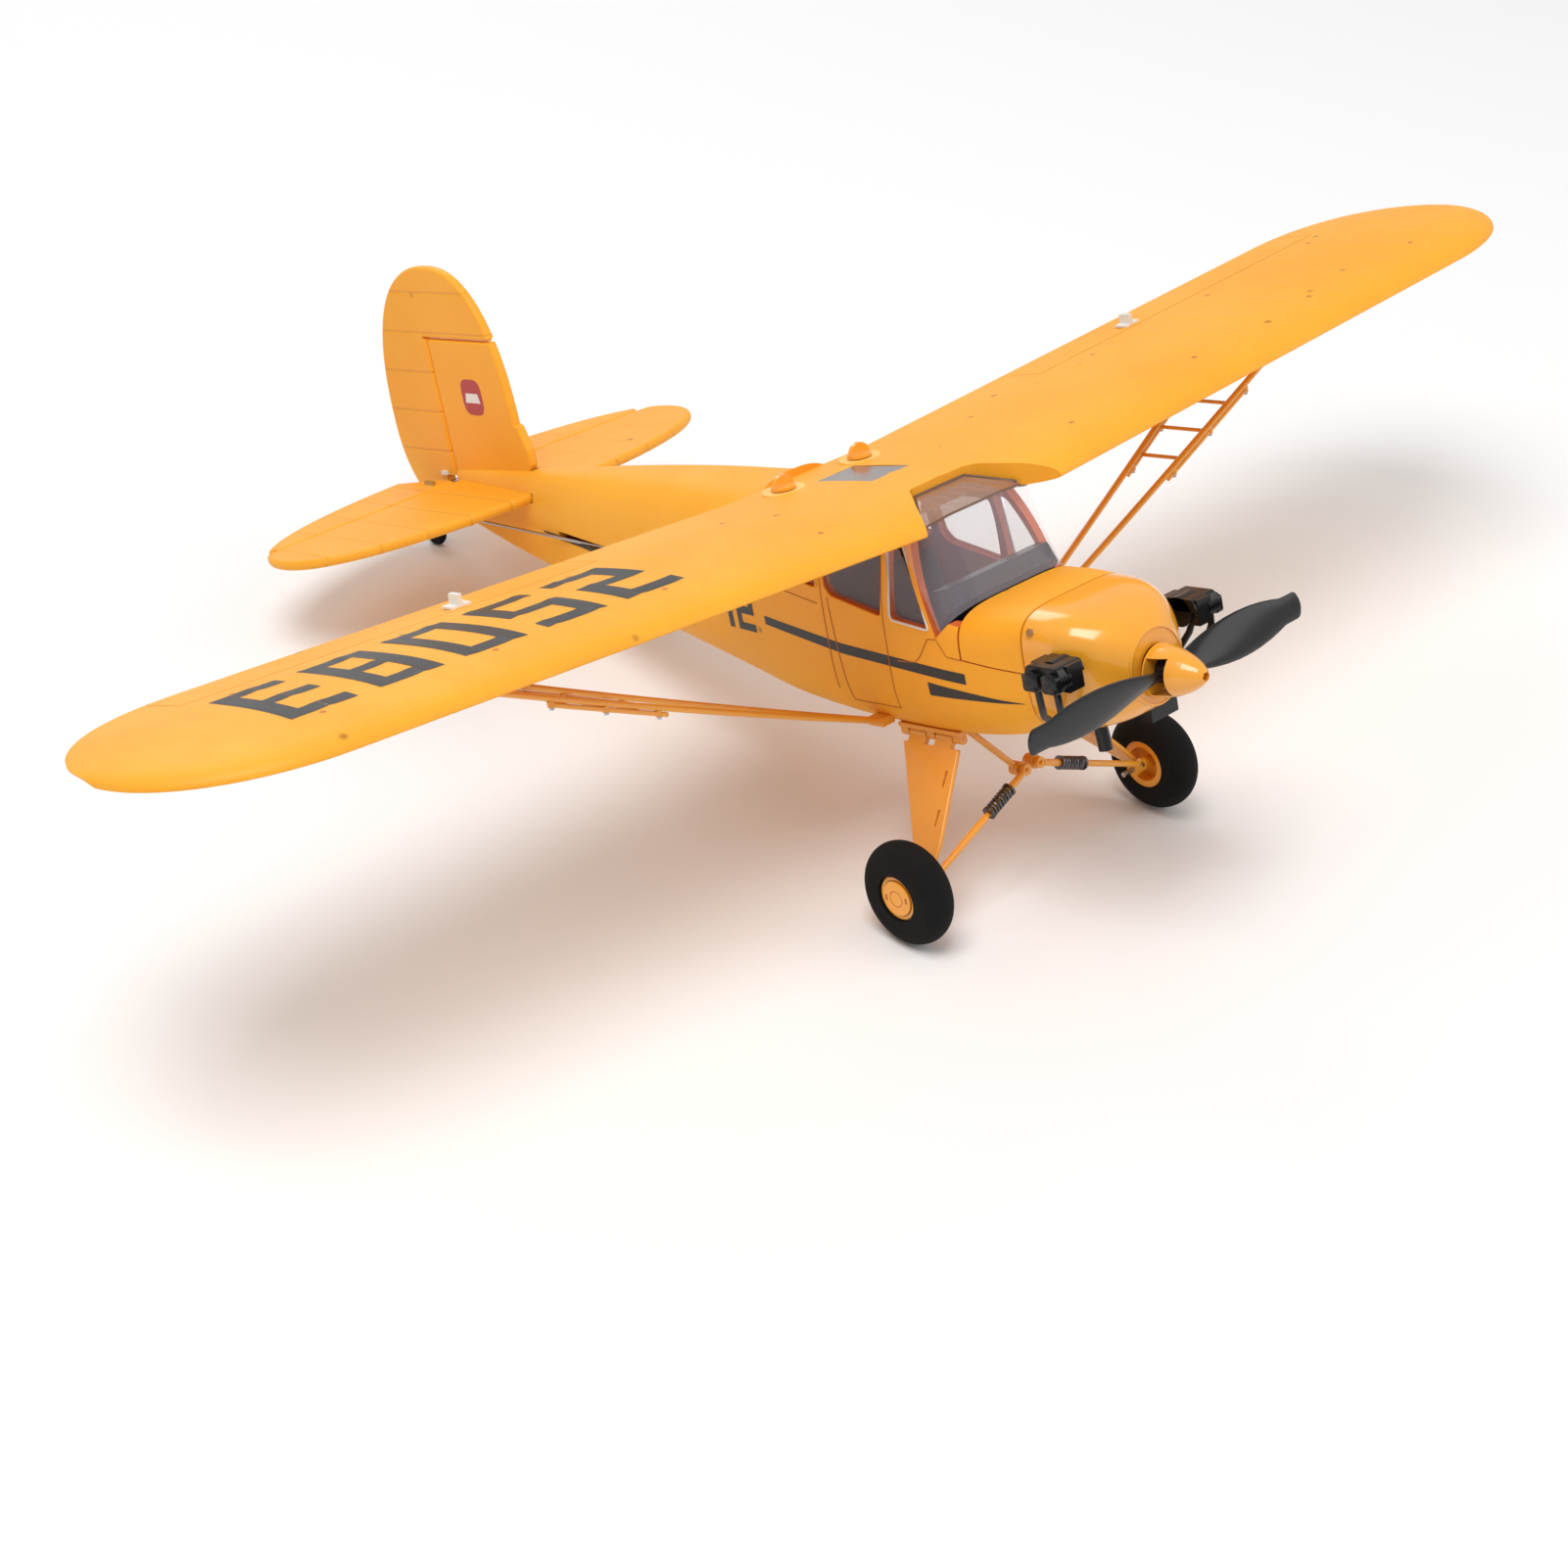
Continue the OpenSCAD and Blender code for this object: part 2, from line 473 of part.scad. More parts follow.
// ---- nose and power ----
thrust_z = -50.8;
nose_y = -64.5;
shaft_r = 1;
module motor_mount() color([0.25, 0.22, 0.2]) difference() {
  union() {
    block([0, -27.5, thrust_z], [34, 3, 30]);
    disc_y([0, -36, thrust_z], 5, 14);
    for (x = [-13, 13]) for (z = [-10, 10]) disc_y([x, -24.5, thrust_z + z], 2.5, 3);
  }
  disc_y([0, -36, thrust_z], 2.2, 30);
}
module motor_stator() color([0.5, 0.32, 0.16]) difference() {
  union() {
    disc_y([0, -44.25, thrust_z], 8, 2.5);
    disc_y([0, -49, thrust_z], 6.4, 7);
  }
  disc_y([0, -48, thrust_z], shaft_r + run, 20);
}
module motor_bell() color(metal) {
  difference() {
    disc_y([0, -51, thrust_z], 9, 9);
    disc_y([0, -49.5, thrust_z], 7.4, 9);
  }
  disc_y([0, -60.5, thrust_z], shaft_r, 36);
}
hub_y = [-71, -66];
spin_back = -64.6;
spin_tip = -85.3;
spin_r = 9.2;
function blade_chord(r) = 15.5 * pow(sin(180 * pow(min(1, r / prop_r), 1.15) * 0.93 + 6), 0.75) * (r > prop_r - 5 ? 0.82 : 1);
function blade_pitch(r) = atan(62 / (2 * PI * r));
function blade_loop(r, n = 6) = let (c = blade_chord(r), a = blade_pitch(r), h = 0.5 + 1.2 * (1 - r / prop_r))
  [for (i = [0:2 * n - 1]) let (q = 360 * i / (2 * n), u = c / 2 * cos(q), v = h * sin(q))
    [r, u * sin(a) + v * cos(a), u * cos(a) - v * sin(a)]];
blade_r = [3.4, 8, 14, 20, 27, 34, 41, 48, 55, 60, 64, 66.5, prop_r];
module propeller() color(black) difference() {
  union() {
    disc_y([0, (hub_y[0] + hub_y[1]) / 2, thrust_z], 4.5, hub_y[1] - hub_y[0]);
    for (a = [0, 180]) translate([0, (hub_y[0] + hub_y[1]) / 2, thrust_z]) rotate([0, a, 0])
      loft([for (r = blade_r) blade_loop(r)]);
  }
  disc_y([0, -68, thrust_z], shaft_r, 20);
}
module prop_nut() color(metal) difference() {
  translate([0, hub_y[0], thrust_z]) rotate([90, 0, 0]) cylinder(h = 3, r = 2.6, $fn = 6);
  disc_y([0, -72, thrust_z], shaft_r, 20);
}
function ogive(t) = [spin_r * pow(max(0, 1 - pow(t, 1.7)), 0.62), t * (spin_back - spin_tip)];
module spinner() color(plastic) translate([0, spin_back, thrust_z]) rotate([90, 0, 0]) difference() {
  union() {
    difference() {
      rotate_extrude() polygon(concat([[0, 0]], [for (i = [0:12]) ogive(i / 12 * 0.97)], [[0, spin_back - spin_tip]]));
      rotate_extrude() polygon(concat([[0, 1.2]], [for (i = [1:11]) ogive(i / 12 * 0.9) + [-1.2, 0]], [[0, 17]]));
    }
  }
  translate([0, 0, -1]) cylinder(h = 4, r = shaft_r);
  translate([0, 0, 14]) cylinder(h = 10, r = 1.7, $fn = 6);
  translate([-20, -6.5, 0.6]) cube([40, 13, 7.8]);
}

// Cowl: the sections shrink forward from the seam and roll into a round front face
cowl_seam = -30.4;
function cowl_side(q, t) = let (s = skin(-30, q < 180 ? q : 360 - q, t), x = q < 180 ? s.x : -s.x) [x, s.z];
function cowl_point(q, k, t) =
  let (a = cowl_side(q, t), b = [(12.5 - t * 0.3) * sin(q), thrust_z + 1.5 + (13 - t * 0.3) * cos(q)], m = pow(k, 2.6) * 0.86 + 0.14 * k)
  [lerp(a[0], b[0], m), cowl_seam - (33.2 - (t > 0 ? 2 : 0)) * pow(k, 0.85), lerp(a[1], b[1], m)];
cowl_k = [0, 0.3, 0.55, 0.74, 0.88, 0.96, 1];
function cowl_slice(q) = concat([for (k = cowl_k) cowl_point(q, k, 0)], [for (i = [len(cowl_k) - 1:-1:0]) cowl_point(q, cowl_k[i], 1.6)]);
module cowl() color(plastic) difference() {
  union() {
    loft([for (i = [0:35]) cowl_slice(360 - 10 * i)], ring = true);
    disc_y([0, cowl_seam - 31.9, thrust_z + 1.2], 13, 1.6);
  }
  disc_y([0, -60, thrust_z], 7.5, 20);
  for (x = [-1, 1]) disc_y([x * 10.4, -60, thrust_z - 3], 2, 30);
  cowl_screws();
}
module cowl_screws() color(metal) both() for (q = [62, 118]) {
  p = cowl_side(q, 0);
  n = [sin(q), cos(q)];
  rod([p[0] - 0.6 * n[0], -34, p[1] - 0.6 * n[1]], [p[0] + 0.8 * n[0], -34, p[1] + 0.8 * n[1]], 1.3);
}

// Dummy four-cylinder engine: a finned block on each cheek, exhaust pipes and the scoop under the nose
engine_z = -42;
module engine_block() {
  block([32.2, -50, engine_z], [7, 17, 10]);
  for (i = [0:4]) block([37.2, -56 + 3 * i, engine_z], [3, 1.3, 9]);
  block([40.2, -50, engine_z], [3, 15.5, 8]);
  for (y = [-54, -46]) disc_x([42.2, y, engine_z], 2.2, 1);
  rod([36, -55, engine_z - 5], [36, -55, -58], 1.3);
  rod([36, -55, -58], [30, -47, -62], 1.3);
  rod([36, -45, engine_z - 5], [36, -45, -55], 1.3);
}
module engine_trim() color(black) {
  difference() {
    both() engine_block();
    cowl_body();
  }
  difference() {
    union() {
      translate([-9, -40, -80]) rotate([8, 0, 0]) cylinder(h = 14, r = 2.6);
      block([6, -52, -67.4], [14, 12, 7]);
    }
    cowl_body();
  }
}
module cowl_body() loft([for (k = concat([-0.2], cowl_k)) [for (i = [0:35]) cowl_point(10 * i, max(0, k), 0) + [0, k < 0 ? 1 : 0, 0]]]);

battery_size = [18, 46, 12];
battery_at = [0, 0, -63];
module battery() color([0.12, 0.2, 0.45]) block(battery_at, battery_size);
module battery_strap() color(black) difference() {
  block(battery_at + [0, -4, 0], battery_size - [-1.6, 34, -1.6]);
  block(battery_at, battery_size);
}
module electronics() color([0.1, 0.35, 0.18]) {
  block([0, 66, -66.5], [24, 34, 6]);
  block([0, -14, -52.5], [20, 12, 5]);
}

// ---- landing gear ----
leg_pivot = [22.5, -78.2];    // in X and Z, turning about Y
axle_r = 1;
leg_foot = [54.5, -116];
leg_v = leg_foot - leg_pivot;
leg_len = norm(leg_v);
leg_turn = atan2(-leg_v[1], leg_v[0]);
pin_leg = 0.8;
lug_y = [14, 27, 40];
boss_x = 3.6;
boss_y = 8;
boss_z = -95.5;
shock_y = 4;
module leg(s) color(foam) on_side(s) {
  difference() {
    union() {
      translate([leg_pivot[0], 0, leg_pivot[1]]) rotate([0, leg_turn, 0]) translate([0, 0, -0.9])
        linear_extrude(1.8) polygon([[0, 16], [3, 12.5], [leg_len - 12, 5.8], [leg_len, 5.8], [leg_len, 12], [leg_len - 2, 14], [3, 41], [0, 39]]);
      for (y = [20.5, 33.5]) disc_y([leg_pivot[0], y, leg_pivot[1]], 1.8, 8);
      disc_x([leg_foot[0] + 0.2, main_y, main_z], 2.4, 5);
      disc_x([60, main_y, main_z], axle_r, 26);
      disc_y([leg_foot[0] - 1.2, 5, main_z + 2.4], 0.6, 6);
    }
    disc_y([leg_pivot[0], 30, leg_pivot[1]], pin_leg + run, 40);
    for (y = lug_y) translate([leg_pivot[0] - 5, y - 2.3, leg_pivot[1] - 3.4]) cube([8.4, 4.6, 8]);
  }
  disc_x([main_x_out + 0.8, main_y, main_z], 1.9, 1);
}
wheel_half = 6.6;
main_x_out = track_half + 4.8;
module gear_cabane() color(plastic) {
  block([0, (gear_y[0] + gear_y[1]) / 2, gear_z - 0.75], [50, gear_y[1] - gear_y[0], 1.5]);
  block([0, 30, gear_z - 1.9], [28, 20, 0.8]);
  both() {
    difference() {
      for (y = lug_y) {
        disc_y([leg_pivot[0], y, leg_pivot[1]], 1.7, 3.8);
        block([leg_pivot[0], y, gear_z - 2.2], [3.4, 3.8, 2]);
      }
      disc_y([leg_pivot[0], 30, leg_pivot[1]], pin_leg, 40);
    }
    disc_y([leg_pivot[0], 27, leg_pivot[1]], pin_leg, 30);
    rod([19, 14, gear_z - 1], [boss_x, boss_y, boss_z], 1.2);
    disc_y([boss_x, boss_y, boss_z], 2.6, 4);
    disc_y([boss_x, shock_y + 0.6, boss_z], 0.7, 5);
  }
}
shock_from = [boss_x, shock_y, boss_z];
shock_to = [leg_foot[0] - 1.2, shock_y, main_z + 2.4];
shock_v = shock_to - shock_from;
shock_len = norm(shock_v);
module along_shock() translate(shock_from) rotate([0, acos(shock_v.z / shock_len), 0]) children();
shock_mid = 24;
module shock_eye(bore) difference() {
  rotate([90, 0, 0]) cylinder(h = 1.6, r = 2.1, center = true);
  rotate([90, 0, 0]) cylinder(h = 4, r = bore, center = true);
}
module shock_upper(s) on_side(s) along_shock() {
  color(plastic) {
    shock_eye(0.7 + run);
    difference() {
      translate([0, 0, 1.6]) cylinder(h = shock_mid - 3, r = 1.4);
      translate([0, 0, 8]) cylinder(h = 20, r = 0.8 + run);
      rotate([90, 0, 0]) cylinder(h = 4, r = 0.7 + run, center = true);
    }
  }
  color(metal) difference() {
    translate([0, 0, 12.5]) cylinder(h = 8, r = 2.6);
    translate([0, 0, 12]) cylinder(h = 9, r = 1.4);
  }
}
module shock_lower(s) color(plastic) on_side(s) along_shock() {
  translate([0, 0, 10]) cylinder(h = shock_mid - 9.9, r = 0.8);
  difference() {
    translate([0, 0, shock_mid]) cylinder(h = shock_len - shock_mid - 1.4, r = 1.4);
    translate([0, 0, shock_len]) rotate([90, 0, 0]) cylinder(h = 4, r = 0.95, center = true);
  }
  translate([0, 0, shock_len]) shock_eye(0.95);
}
hub_r = 8.4;
module at_wheel(s) on_side(s) translate([track_half, main_y, main_z]) rotate([0, 90, 0]) children();
module hub(s) color(plastic) at_wheel(s) difference() {
  union() {
    cylinder(h = 11, r = hub_r - 0.6, center = true);
    translate([0, 0, -6.2]) cylinder(h = 1.6, r = hub_r + 0.6);
    translate([0, 0, 3.5]) cylinder(h = 1.1, r = hub_r);
  }
  cylinder(h = 30, r = axle_r + run, center = true);
  translate([0, 0, -7]) difference() {
    cylinder(h = 6, r = 6.6);
    cylinder(h = 20, r = 2.4, center = true);
  }
  translate([0, 0, 4.8]) cylinder(h = 5, r = hub_r - 1.6);
}
module tyre(s) color(black) at_wheel(s) rotate_extrude() difference() {
  intersection() {
    union() {
      translate([tyre_r - wheel_half, 0]) circle(r = wheel_half, $fn = 64);
      translate([6, -wheel_half]) square([tyre_r - wheel_half - 6, 2 * wheel_half]);
    }
    translate([0, -wheel_half]) square([40, 2 * wheel_half]);
  }
  translate([0, -20]) square([hub_r - 0.6, 40]);
  translate([0, -20]) square([hub_r + 0.7, 15.5]);
  translate([0, 3.5]) square([hub_r + 0.1, 20]);
}

// ---- wing bracing ----
strut_foot = [29.8, 45, -72.8];
strut_front = [208, 33];
strut_rear = [206, 66];
brace_r = 1.1;
jury_t = 0.56;
function on_wing(p) = [p[0], p[1], under_z(p[0], p[1]) - 1.95];
function on_strut(p, t) = lerp(strut_foot + [0, p[1] > 50 ? 3 : 0, 0], on_wing(p), t);
module strut_rods() for (p = [strut_front, strut_rear]) rod(on_strut(p, 0), on_strut(p, 1), brace_r);
module lift_struts() color(plastic) both() {
  strut_rods();
  for (p = [strut_front, strut_rear]) translate(on_wing(p)) rotate([0, 90, 0]) cylinder(h = 6, r = 1.7, center = true);
  difference() {
    block(strut_foot + [-1.8, 1.5, 0.2], [7, 7.4, 3.2]);
    loft([for (y = [36, 50, 60]) solid_loop(y, 0)]);
  }
}
module jury_frames() color(plastic) both() difference() {
  lift = [0, 0, -2.3];
  union() {
    for (p = [strut_front, strut_rear]) {
      rod(on_strut(p, jury_t - 0.02) + lift, on_strut(p, jury_t + 0.24) + lift, 0.9);
      rod(on_strut(p, jury_t) + lift * 1.4, on_strut(p, jury_t) + lift * 0.4, 1.5);
    }
    rod(on_strut(strut_front, jury_t + 0.12) + lift, on_strut(strut_rear, jury_t + 0.12) + lift, 0.8);
  }
  strut_rods();
}

stance() fuselage_left();
stance() fuselage_right();
stance() hatch();
stance() windshield();
stance() dash_panel();
stance() side_windows();
stance() seats();
stance() wing();
stance() wing_spar();
stance() skylight();
stance() lock_plates();
stance() lock_knob(1);  // lock_knob_left
stance() lock_knob(-1);  // lock_knob_right
stance() aileron(1);  // aileron_left
stance() aileron(-1);  // aileron_right
stance() aileron_horn(1);  // aileron_horn_left
stance() aileron_horn(-1);  // aileron_horn_right
stance() aileron_servos();
stance() aileron_arm(1);  // aileron_arm_left
stance() aileron_arm(-1);  // aileron_arm_right
stance() aileron_rod(1);  // aileron_rod_left
stance() aileron_rod(-1);  // aileron_rod_right
stance() fin();
stance() stabilizer();
stance() elevator();
stance() elevator_joiner();
stance() rudder();
stance() rudder_horn();
stance() tail_servos();
stance() elevator_arm();
stance() rudder_arm();
stance() elevator_rod();
stance() rudder_rod();
stance() tail_fork();
stance() tail_wheel();
stance() motor_mount();
stance() motor_stator();
stance() motor_bell();
stance() propeller();
stance() prop_nut();
stance() spinner();
stance() cowl();
stance() cowl_screws();
stance() engine_trim();
stance() battery();
stance() battery_strap();
stance() electronics();
stance() gear_cabane();
stance() leg(1);  // leg_left
stance() leg(-1);  // leg_right
stance() shock_upper(1);  // shock_upper_left
stance() shock_upper(-1);  // shock_upper_right
stance() shock_lower(1);  // shock_lower_left
stance() shock_lower(-1);  // shock_lower_right
stance() hub(1);  // hub_left
stance() hub(-1);  // hub_right
stance() tyre(1);  // tyre_left
stance() tyre(-1);  // tyre_right
stance() lift_struts();
stance() jury_frames();
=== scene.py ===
"""Looks for the foam park-flyer aeroplane.

Every piece is modelled in the airframe's own axes (X to the left wing, Y aft, Z up, zero at the
wing's leading edge), in millimetres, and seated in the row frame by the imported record's joints.
"""

import json
import math

import bmesh
import bpy
import numpy as np
from mathutils import Matrix, Vector


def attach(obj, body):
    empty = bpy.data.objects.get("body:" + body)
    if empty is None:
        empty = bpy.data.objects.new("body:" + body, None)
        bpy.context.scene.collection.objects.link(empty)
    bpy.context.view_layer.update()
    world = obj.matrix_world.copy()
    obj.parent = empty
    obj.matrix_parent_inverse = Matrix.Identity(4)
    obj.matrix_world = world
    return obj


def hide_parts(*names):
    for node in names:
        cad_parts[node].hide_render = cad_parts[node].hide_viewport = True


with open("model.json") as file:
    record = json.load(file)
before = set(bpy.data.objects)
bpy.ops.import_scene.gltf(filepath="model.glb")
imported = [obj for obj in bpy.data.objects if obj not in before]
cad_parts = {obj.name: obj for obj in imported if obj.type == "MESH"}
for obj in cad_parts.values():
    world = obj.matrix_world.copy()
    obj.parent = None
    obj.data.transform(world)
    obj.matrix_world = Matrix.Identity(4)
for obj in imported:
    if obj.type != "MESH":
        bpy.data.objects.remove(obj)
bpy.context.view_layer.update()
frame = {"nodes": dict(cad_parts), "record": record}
nodes = frame["nodes"]
joints = {j["name"]: j for j in frame["record"]["behaviour"]["joints"]}

MM = 0.001
STAB_Z = -13.0
ELEVATOR_Y = 316.0
UP = Vector(joints["hatch_lift"]["axis"]).normalized()
AFT = Vector((0.0, UP.z, -UP.y))
ORIGIN = Vector(joints["elevator_hinge"]["pos_m"]) - AFT * ELEVATOR_Y * MM - UP * STAB_Z * MM
SEAT = Matrix((
    (1.0, 0.0, 0.0, ORIGIN.x),
    (0.0, AFT.y, UP.y, ORIGIN.y),
    (0.0, AFT.z, UP.z, ORIGIN.z),
    (0.0, 0.0, 0.0, 1.0),
))

# ---- the shape, as the source states it ----
SPAN, CHORD, THICK, DIHEDRAL = 650.0, 103.0, 0.095, 0.058
HALF = SPAN / 2
CABIN_W, WALL = 32.0, 3.2
AIL_IN, AIL_OUT, HINGE_Y = 110.0, 276.0, 80.0
EDGE, TIP_FROM = 0.6, HALF - 60
THRUST_Z = -50.8
TILT = math.atan(DIHEDRAL)


def section(t, thick):
    return 5 * thick * (0.2969 * math.sqrt(t) - 0.126 * t - 0.3516 * t * t
                        + 0.2843 * t ** 3 - 0.1015 * t ** 4)


def wing_half_chord(x):
    u = max(0.0, (abs(x) - TIP_FROM) / (HALF - TIP_FROM))
    return CHORD / 2 * max(0.07, max(0.0, 1 - u ** 2.1) ** (1 / 2.1))


def wing_rise(x):
    return 1.3 + DIHEDRAL * max(0.0, abs(x) - CABIN_W - 2)


def wing_point(x, t, top, swell=0.0):
    h = wing_half_chord(x)
    c = 2 * h
    e = EDGE * min(1.0, c / CHORD + 0.3)
    s = section(t, THICK)
    z = wing_rise(x) + 2.2 * t + (c * 1.5 * s + e * t + swell if top else -c * 0.5 * s - e * t)
    return (x, CHORD / 2 - h + c * t, z)


def top_z(x, y):
    return wing_point(x, y / CHORD, True)[2]


def under_z(x, y):
    return wing_point(x, y / CHORD, False)[2]


def soft(a, e):
    return math.copysign(abs(a) ** (2 / e), a) if a else 0.0


STATIONS = np.array([
    [-30, 28, -26, -46, -71], [-16, 30.5, -26.3, -46, -75], [-3, 31.5, -27, -46, -77], [8, 32, 2, -46, -78],
    [20, 32, 14, -46, -78.5], [50, 32, 16, -45, -78], [85, 31, 14, -44, -75], [103, 30, 7.2, -42, -72],
    [112, 29, 4.4, -41, -70], [150, 24.5, 3.4, -36, -63], [200, 18, 0.6, -31, -54.5], [245, 12, -3, -26, -46],
    [280, 7.6, -5, -22, -38.5], [315, 3.6, -6.5, -18, -29]], float)


def smooth_column(y, column):
    """Monotone cubic through the stations, so the side has no kinks."""
    xs, ys = STATIONS[:, 0], STATIONS[:, column]
    d = np.diff(ys) / np.diff(xs)
    m = np.zeros(len(xs))
    m[0], m[-1] = d[0], d[-1]
    for i in range(1, len(xs) - 1):
        m[i] = 0 if d[i - 1] * d[i] <= 0 else 2 * d[i - 1] * d[i] / (d[i - 1] + d[i])
    k = int(np.clip(np.searchsorted(xs, y) - 1, 0, len(xs) - 2))
    w = xs[k + 1] - xs[k]
    t = (y - xs[k]) / w
    return ((2 * t ** 3 - 3 * t ** 2 + 1) * ys[k] + (t ** 3 - 2 * t ** 2 + t) * w * m[k]
            + (-2 * t ** 3 + 3 * t ** 2) * ys[k + 1] + (t ** 3 - t ** 2) * w * m[k + 1])


def station(y):
    y = float(np.clip(y, STATIONS[0, 0], STATIONS[-1, 0]))
    return [smooth_column(y, c) for c in (1, 2, 3, 4)]


def top_power(y):
    return 4.5 - 1.8 * min(1.0, max(0.0, (y + 3) / 20))


def skin(y, q, t=0.0):
    """Point on the fuselage, q from 0 at the top to 180 at the bottom, sunk inside by t."""
    half, top, mid, bottom = station(y)
    up_side = q < 90
    height = max(1.0, top - t - mid) if up_side else max(1.0, mid - bottom - t)
    e = top_power(y) if up_side else 3.4
    a = math.radians(q)
    return (max(0.4, half - t) * soft(math.sin(a), e), y, mid + height * soft(math.cos(a), e))


def skin_x(y, z, out=0.0):
    """Half width of the fuselage at that side height, pushed out by out."""
    half, top, mid, bottom = station(y)
    up_side = z > mid
    share = (z - mid) / (top - mid) if up_side else (mid - z) / (mid - bottom)
    e = top_power(y) if up_side else 3.4
    return half * max(0.0, 1 - min(1.0, abs(share)) ** e) ** (1 / e) + out


# ---- mesh building ----
def make(name, verts, faces, sharp=35.0):
    mesh = bpy.data.meshes.new(name)
    mesh.from_pydata([tuple(c * MM for c in v) for v in verts], [], faces)
    mesh.validate()
    mesh.transform(SEAT)
    bm = bmesh.new()
    bm.from_mesh(mesh)
    bmesh.ops.remove_doubles(bm, verts=bm.verts, dist=0.03 * MM)
    bmesh.ops.recalc_face_normals(bm, faces=bm.faces)
    crease(bm, sharp)
    bm.to_mesh(mesh)
    bm.free()
    obj = bpy.data.objects.new(name, mesh)
    bpy.context.scene.collection.objects.link(obj)
    return obj


def crease(bm, sharp):
    for f in bm.faces:
        f.smooth = True
    for e in bm.edges:
        e.smooth = len(e.link_faces) == 2 and e.calc_face_angle(0.0) < math.radians(sharp)


def recrease(obj, sharp=35.0):
    bm = bmesh.new()
    bm.from_mesh(obj.data)
    bmesh.ops.remove_doubles(bm, verts=bm.verts, dist=1e-6)
    crease(bm, sharp)
    bm.to_mesh(obj.data)
    bm.free()
    return obj


def finish(obj, body, material, stands_for=()):
    obj.data.materials.clear()
    obj.data.materials.append(material)
    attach(obj, body)
    if stands_for:
        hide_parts(*stands_for)
    return obj


def joined(name, parts, sharp=35.0):
    """One mesh out of several (verts, faces) pairs."""
    verts, faces = [], []
    for v, f in parts:
        k = len(verts)
        verts += list(v)
        faces += [[i + k for i in face] for face in f]
    return make(name, verts, faces, sharp)


def loft(loops, ring=False, shell=False):
    n, m = len(loops[0]), len(loops)
    verts = [p for loop in loops for p in loop]
    faces = [[i * n + j, i * n + (j + 1) % n, ((i + 1) % m) * n + (j + 1) % n, ((i + 1) % m) * n + j]
             for i in range(m if ring else m - 1) for j in range(n)]
    if shell:
        for base in (0, (m - 1) * n):
            faces += [[base + k, base + k + 1, base + n - 2 - k, base + n - 1 - k] for k in range(n // 2 - 1)]
    elif not ring:
        faces += [list(range(n))[::-1], [(m - 1) * n + j for j in range(n)]]
    return verts, faces


def grid(rows, back=None):
    """Open sheet of points, or with back a thin closed one."""
    m, n = len(rows), len(rows[0])
    verts = [p for row in rows for p in row]
    faces = [[i * n + j, i * n + j + 1, (i + 1) * n + j + 1, (i + 1) * n + j] for i in range(m - 1)
             for j in range(n - 1)]
    if back is None:
        return verts, faces
    k = m * n
    verts += [p for row in back for p in row]
    faces += [[c + k for c in f[::-1]] for f in faces]
    rim = list(range(n)) + [i * n + n - 1 for i in range(1, m)]
    rim += [(m - 1) * n + j for j in range(n - 2, -1, -1)] + [i * n for i in range(m - 2, 0, -1)]
    faces += [[rim[i], rim[(i + 1) % len(rim)], rim[(i + 1) % len(rim)] + k, rim[i] + k]
              for i in range(len(rim))]
    return verts, faces


def prism_x(points, x0, x1):
    return loft([[(x, p[0], p[1]) for p in points] for x in (x0, x1)])


def prism_z(points, z0, z1):
    return loft([[(p[0], p[1], z) for p in points] for z in (z0, z1)])


def box_part(lo, hi):
    return prism_z([(lo[0], lo[1]), (hi[0], lo[1]), (hi[0], hi[1]), (lo[0], hi[1])], lo[2], hi[2])


def frame_of(direction):
    d = Vector(direction).normalized()
    side = d.cross(Vector((0, 0, 1)) if abs(d.z) < 0.9 else Vector((1, 0, 0))).normalized()
    return d, side, d.cross(side)


def tube(path, radius, around=16, flat=1.0, flat_dir=None):
    """Round or flattened bar along a path of points."""
    pts = [Vector(p) for p in path]
    loops = []
    side = frame_of(pts[1] - pts[0])[1]
    if flat_dir is not None:
        side = Vector(flat_dir).normalized()
    for i, p in enumerate(pts):
        d = (pts[min(i + 1, len(pts) - 1)] - pts[max(i - 1, 0)]).normalized()
        side = (side - d * side.dot(d)).normalized()
        up = d.cross(side)
        r = radius[i] if isinstance(radius, (list, tuple)) else radius
        loops.append([tuple(p + side * (r * math.cos(a)) + up * (r * flat * math.sin(a)))
                      for a in (2 * math.pi * k / around for k in range(around))])
    return loft(loops)


def turned(profile, centre, axis, around=64):
    """Profile of (radius, along) points turned about an axis through centre."""
    d, side, up = frame_of(axis)
    c = Vector(centre)
    rows = []
    for k in range(around):
        a = 2 * math.pi * k / around
        rows.append([tuple(c + d * z + (side * math.cos(a) + up * math.sin(a)) * r) for r, z in profile])
    return loft([list(r) for r in rows], ring=True) if profile[0] == profile[-1] else ring_skin(rows)


def ring_skin(rows):
    m, n = len(rows), len(rows[0])
    verts = [p for row in rows for p in row]
    faces = [[i * n + j, i * n + j + 1, ((i + 1) % m) * n + j + 1, ((i + 1) % m) * n + j] for i in range(m)
             for j in range(n - 1)]
    return verts, faces


def mirrored(part):
    return [(-x, y, z) for x, y, z in part[0]], [f[::-1] for f in part[1]]


def twice(parts):
    return parts + [mirrored(p) for p in parts]


def both(part):
    return twice([part])


def tilted(part, at=(0.0, 0.0)):
    """Turns a part with the right-hand wing panel's dihedral about (x, z)."""
    c, s = math.cos(TILT), math.sin(TILT)
    verts = [(at[0] + (x - at[0]) * c - (z - at[1]) * s, y, at[1] + (x - at[0]) * s + (z - at[1]) * c)
             for x, y, z in part[0]]
    return verts, part[1]


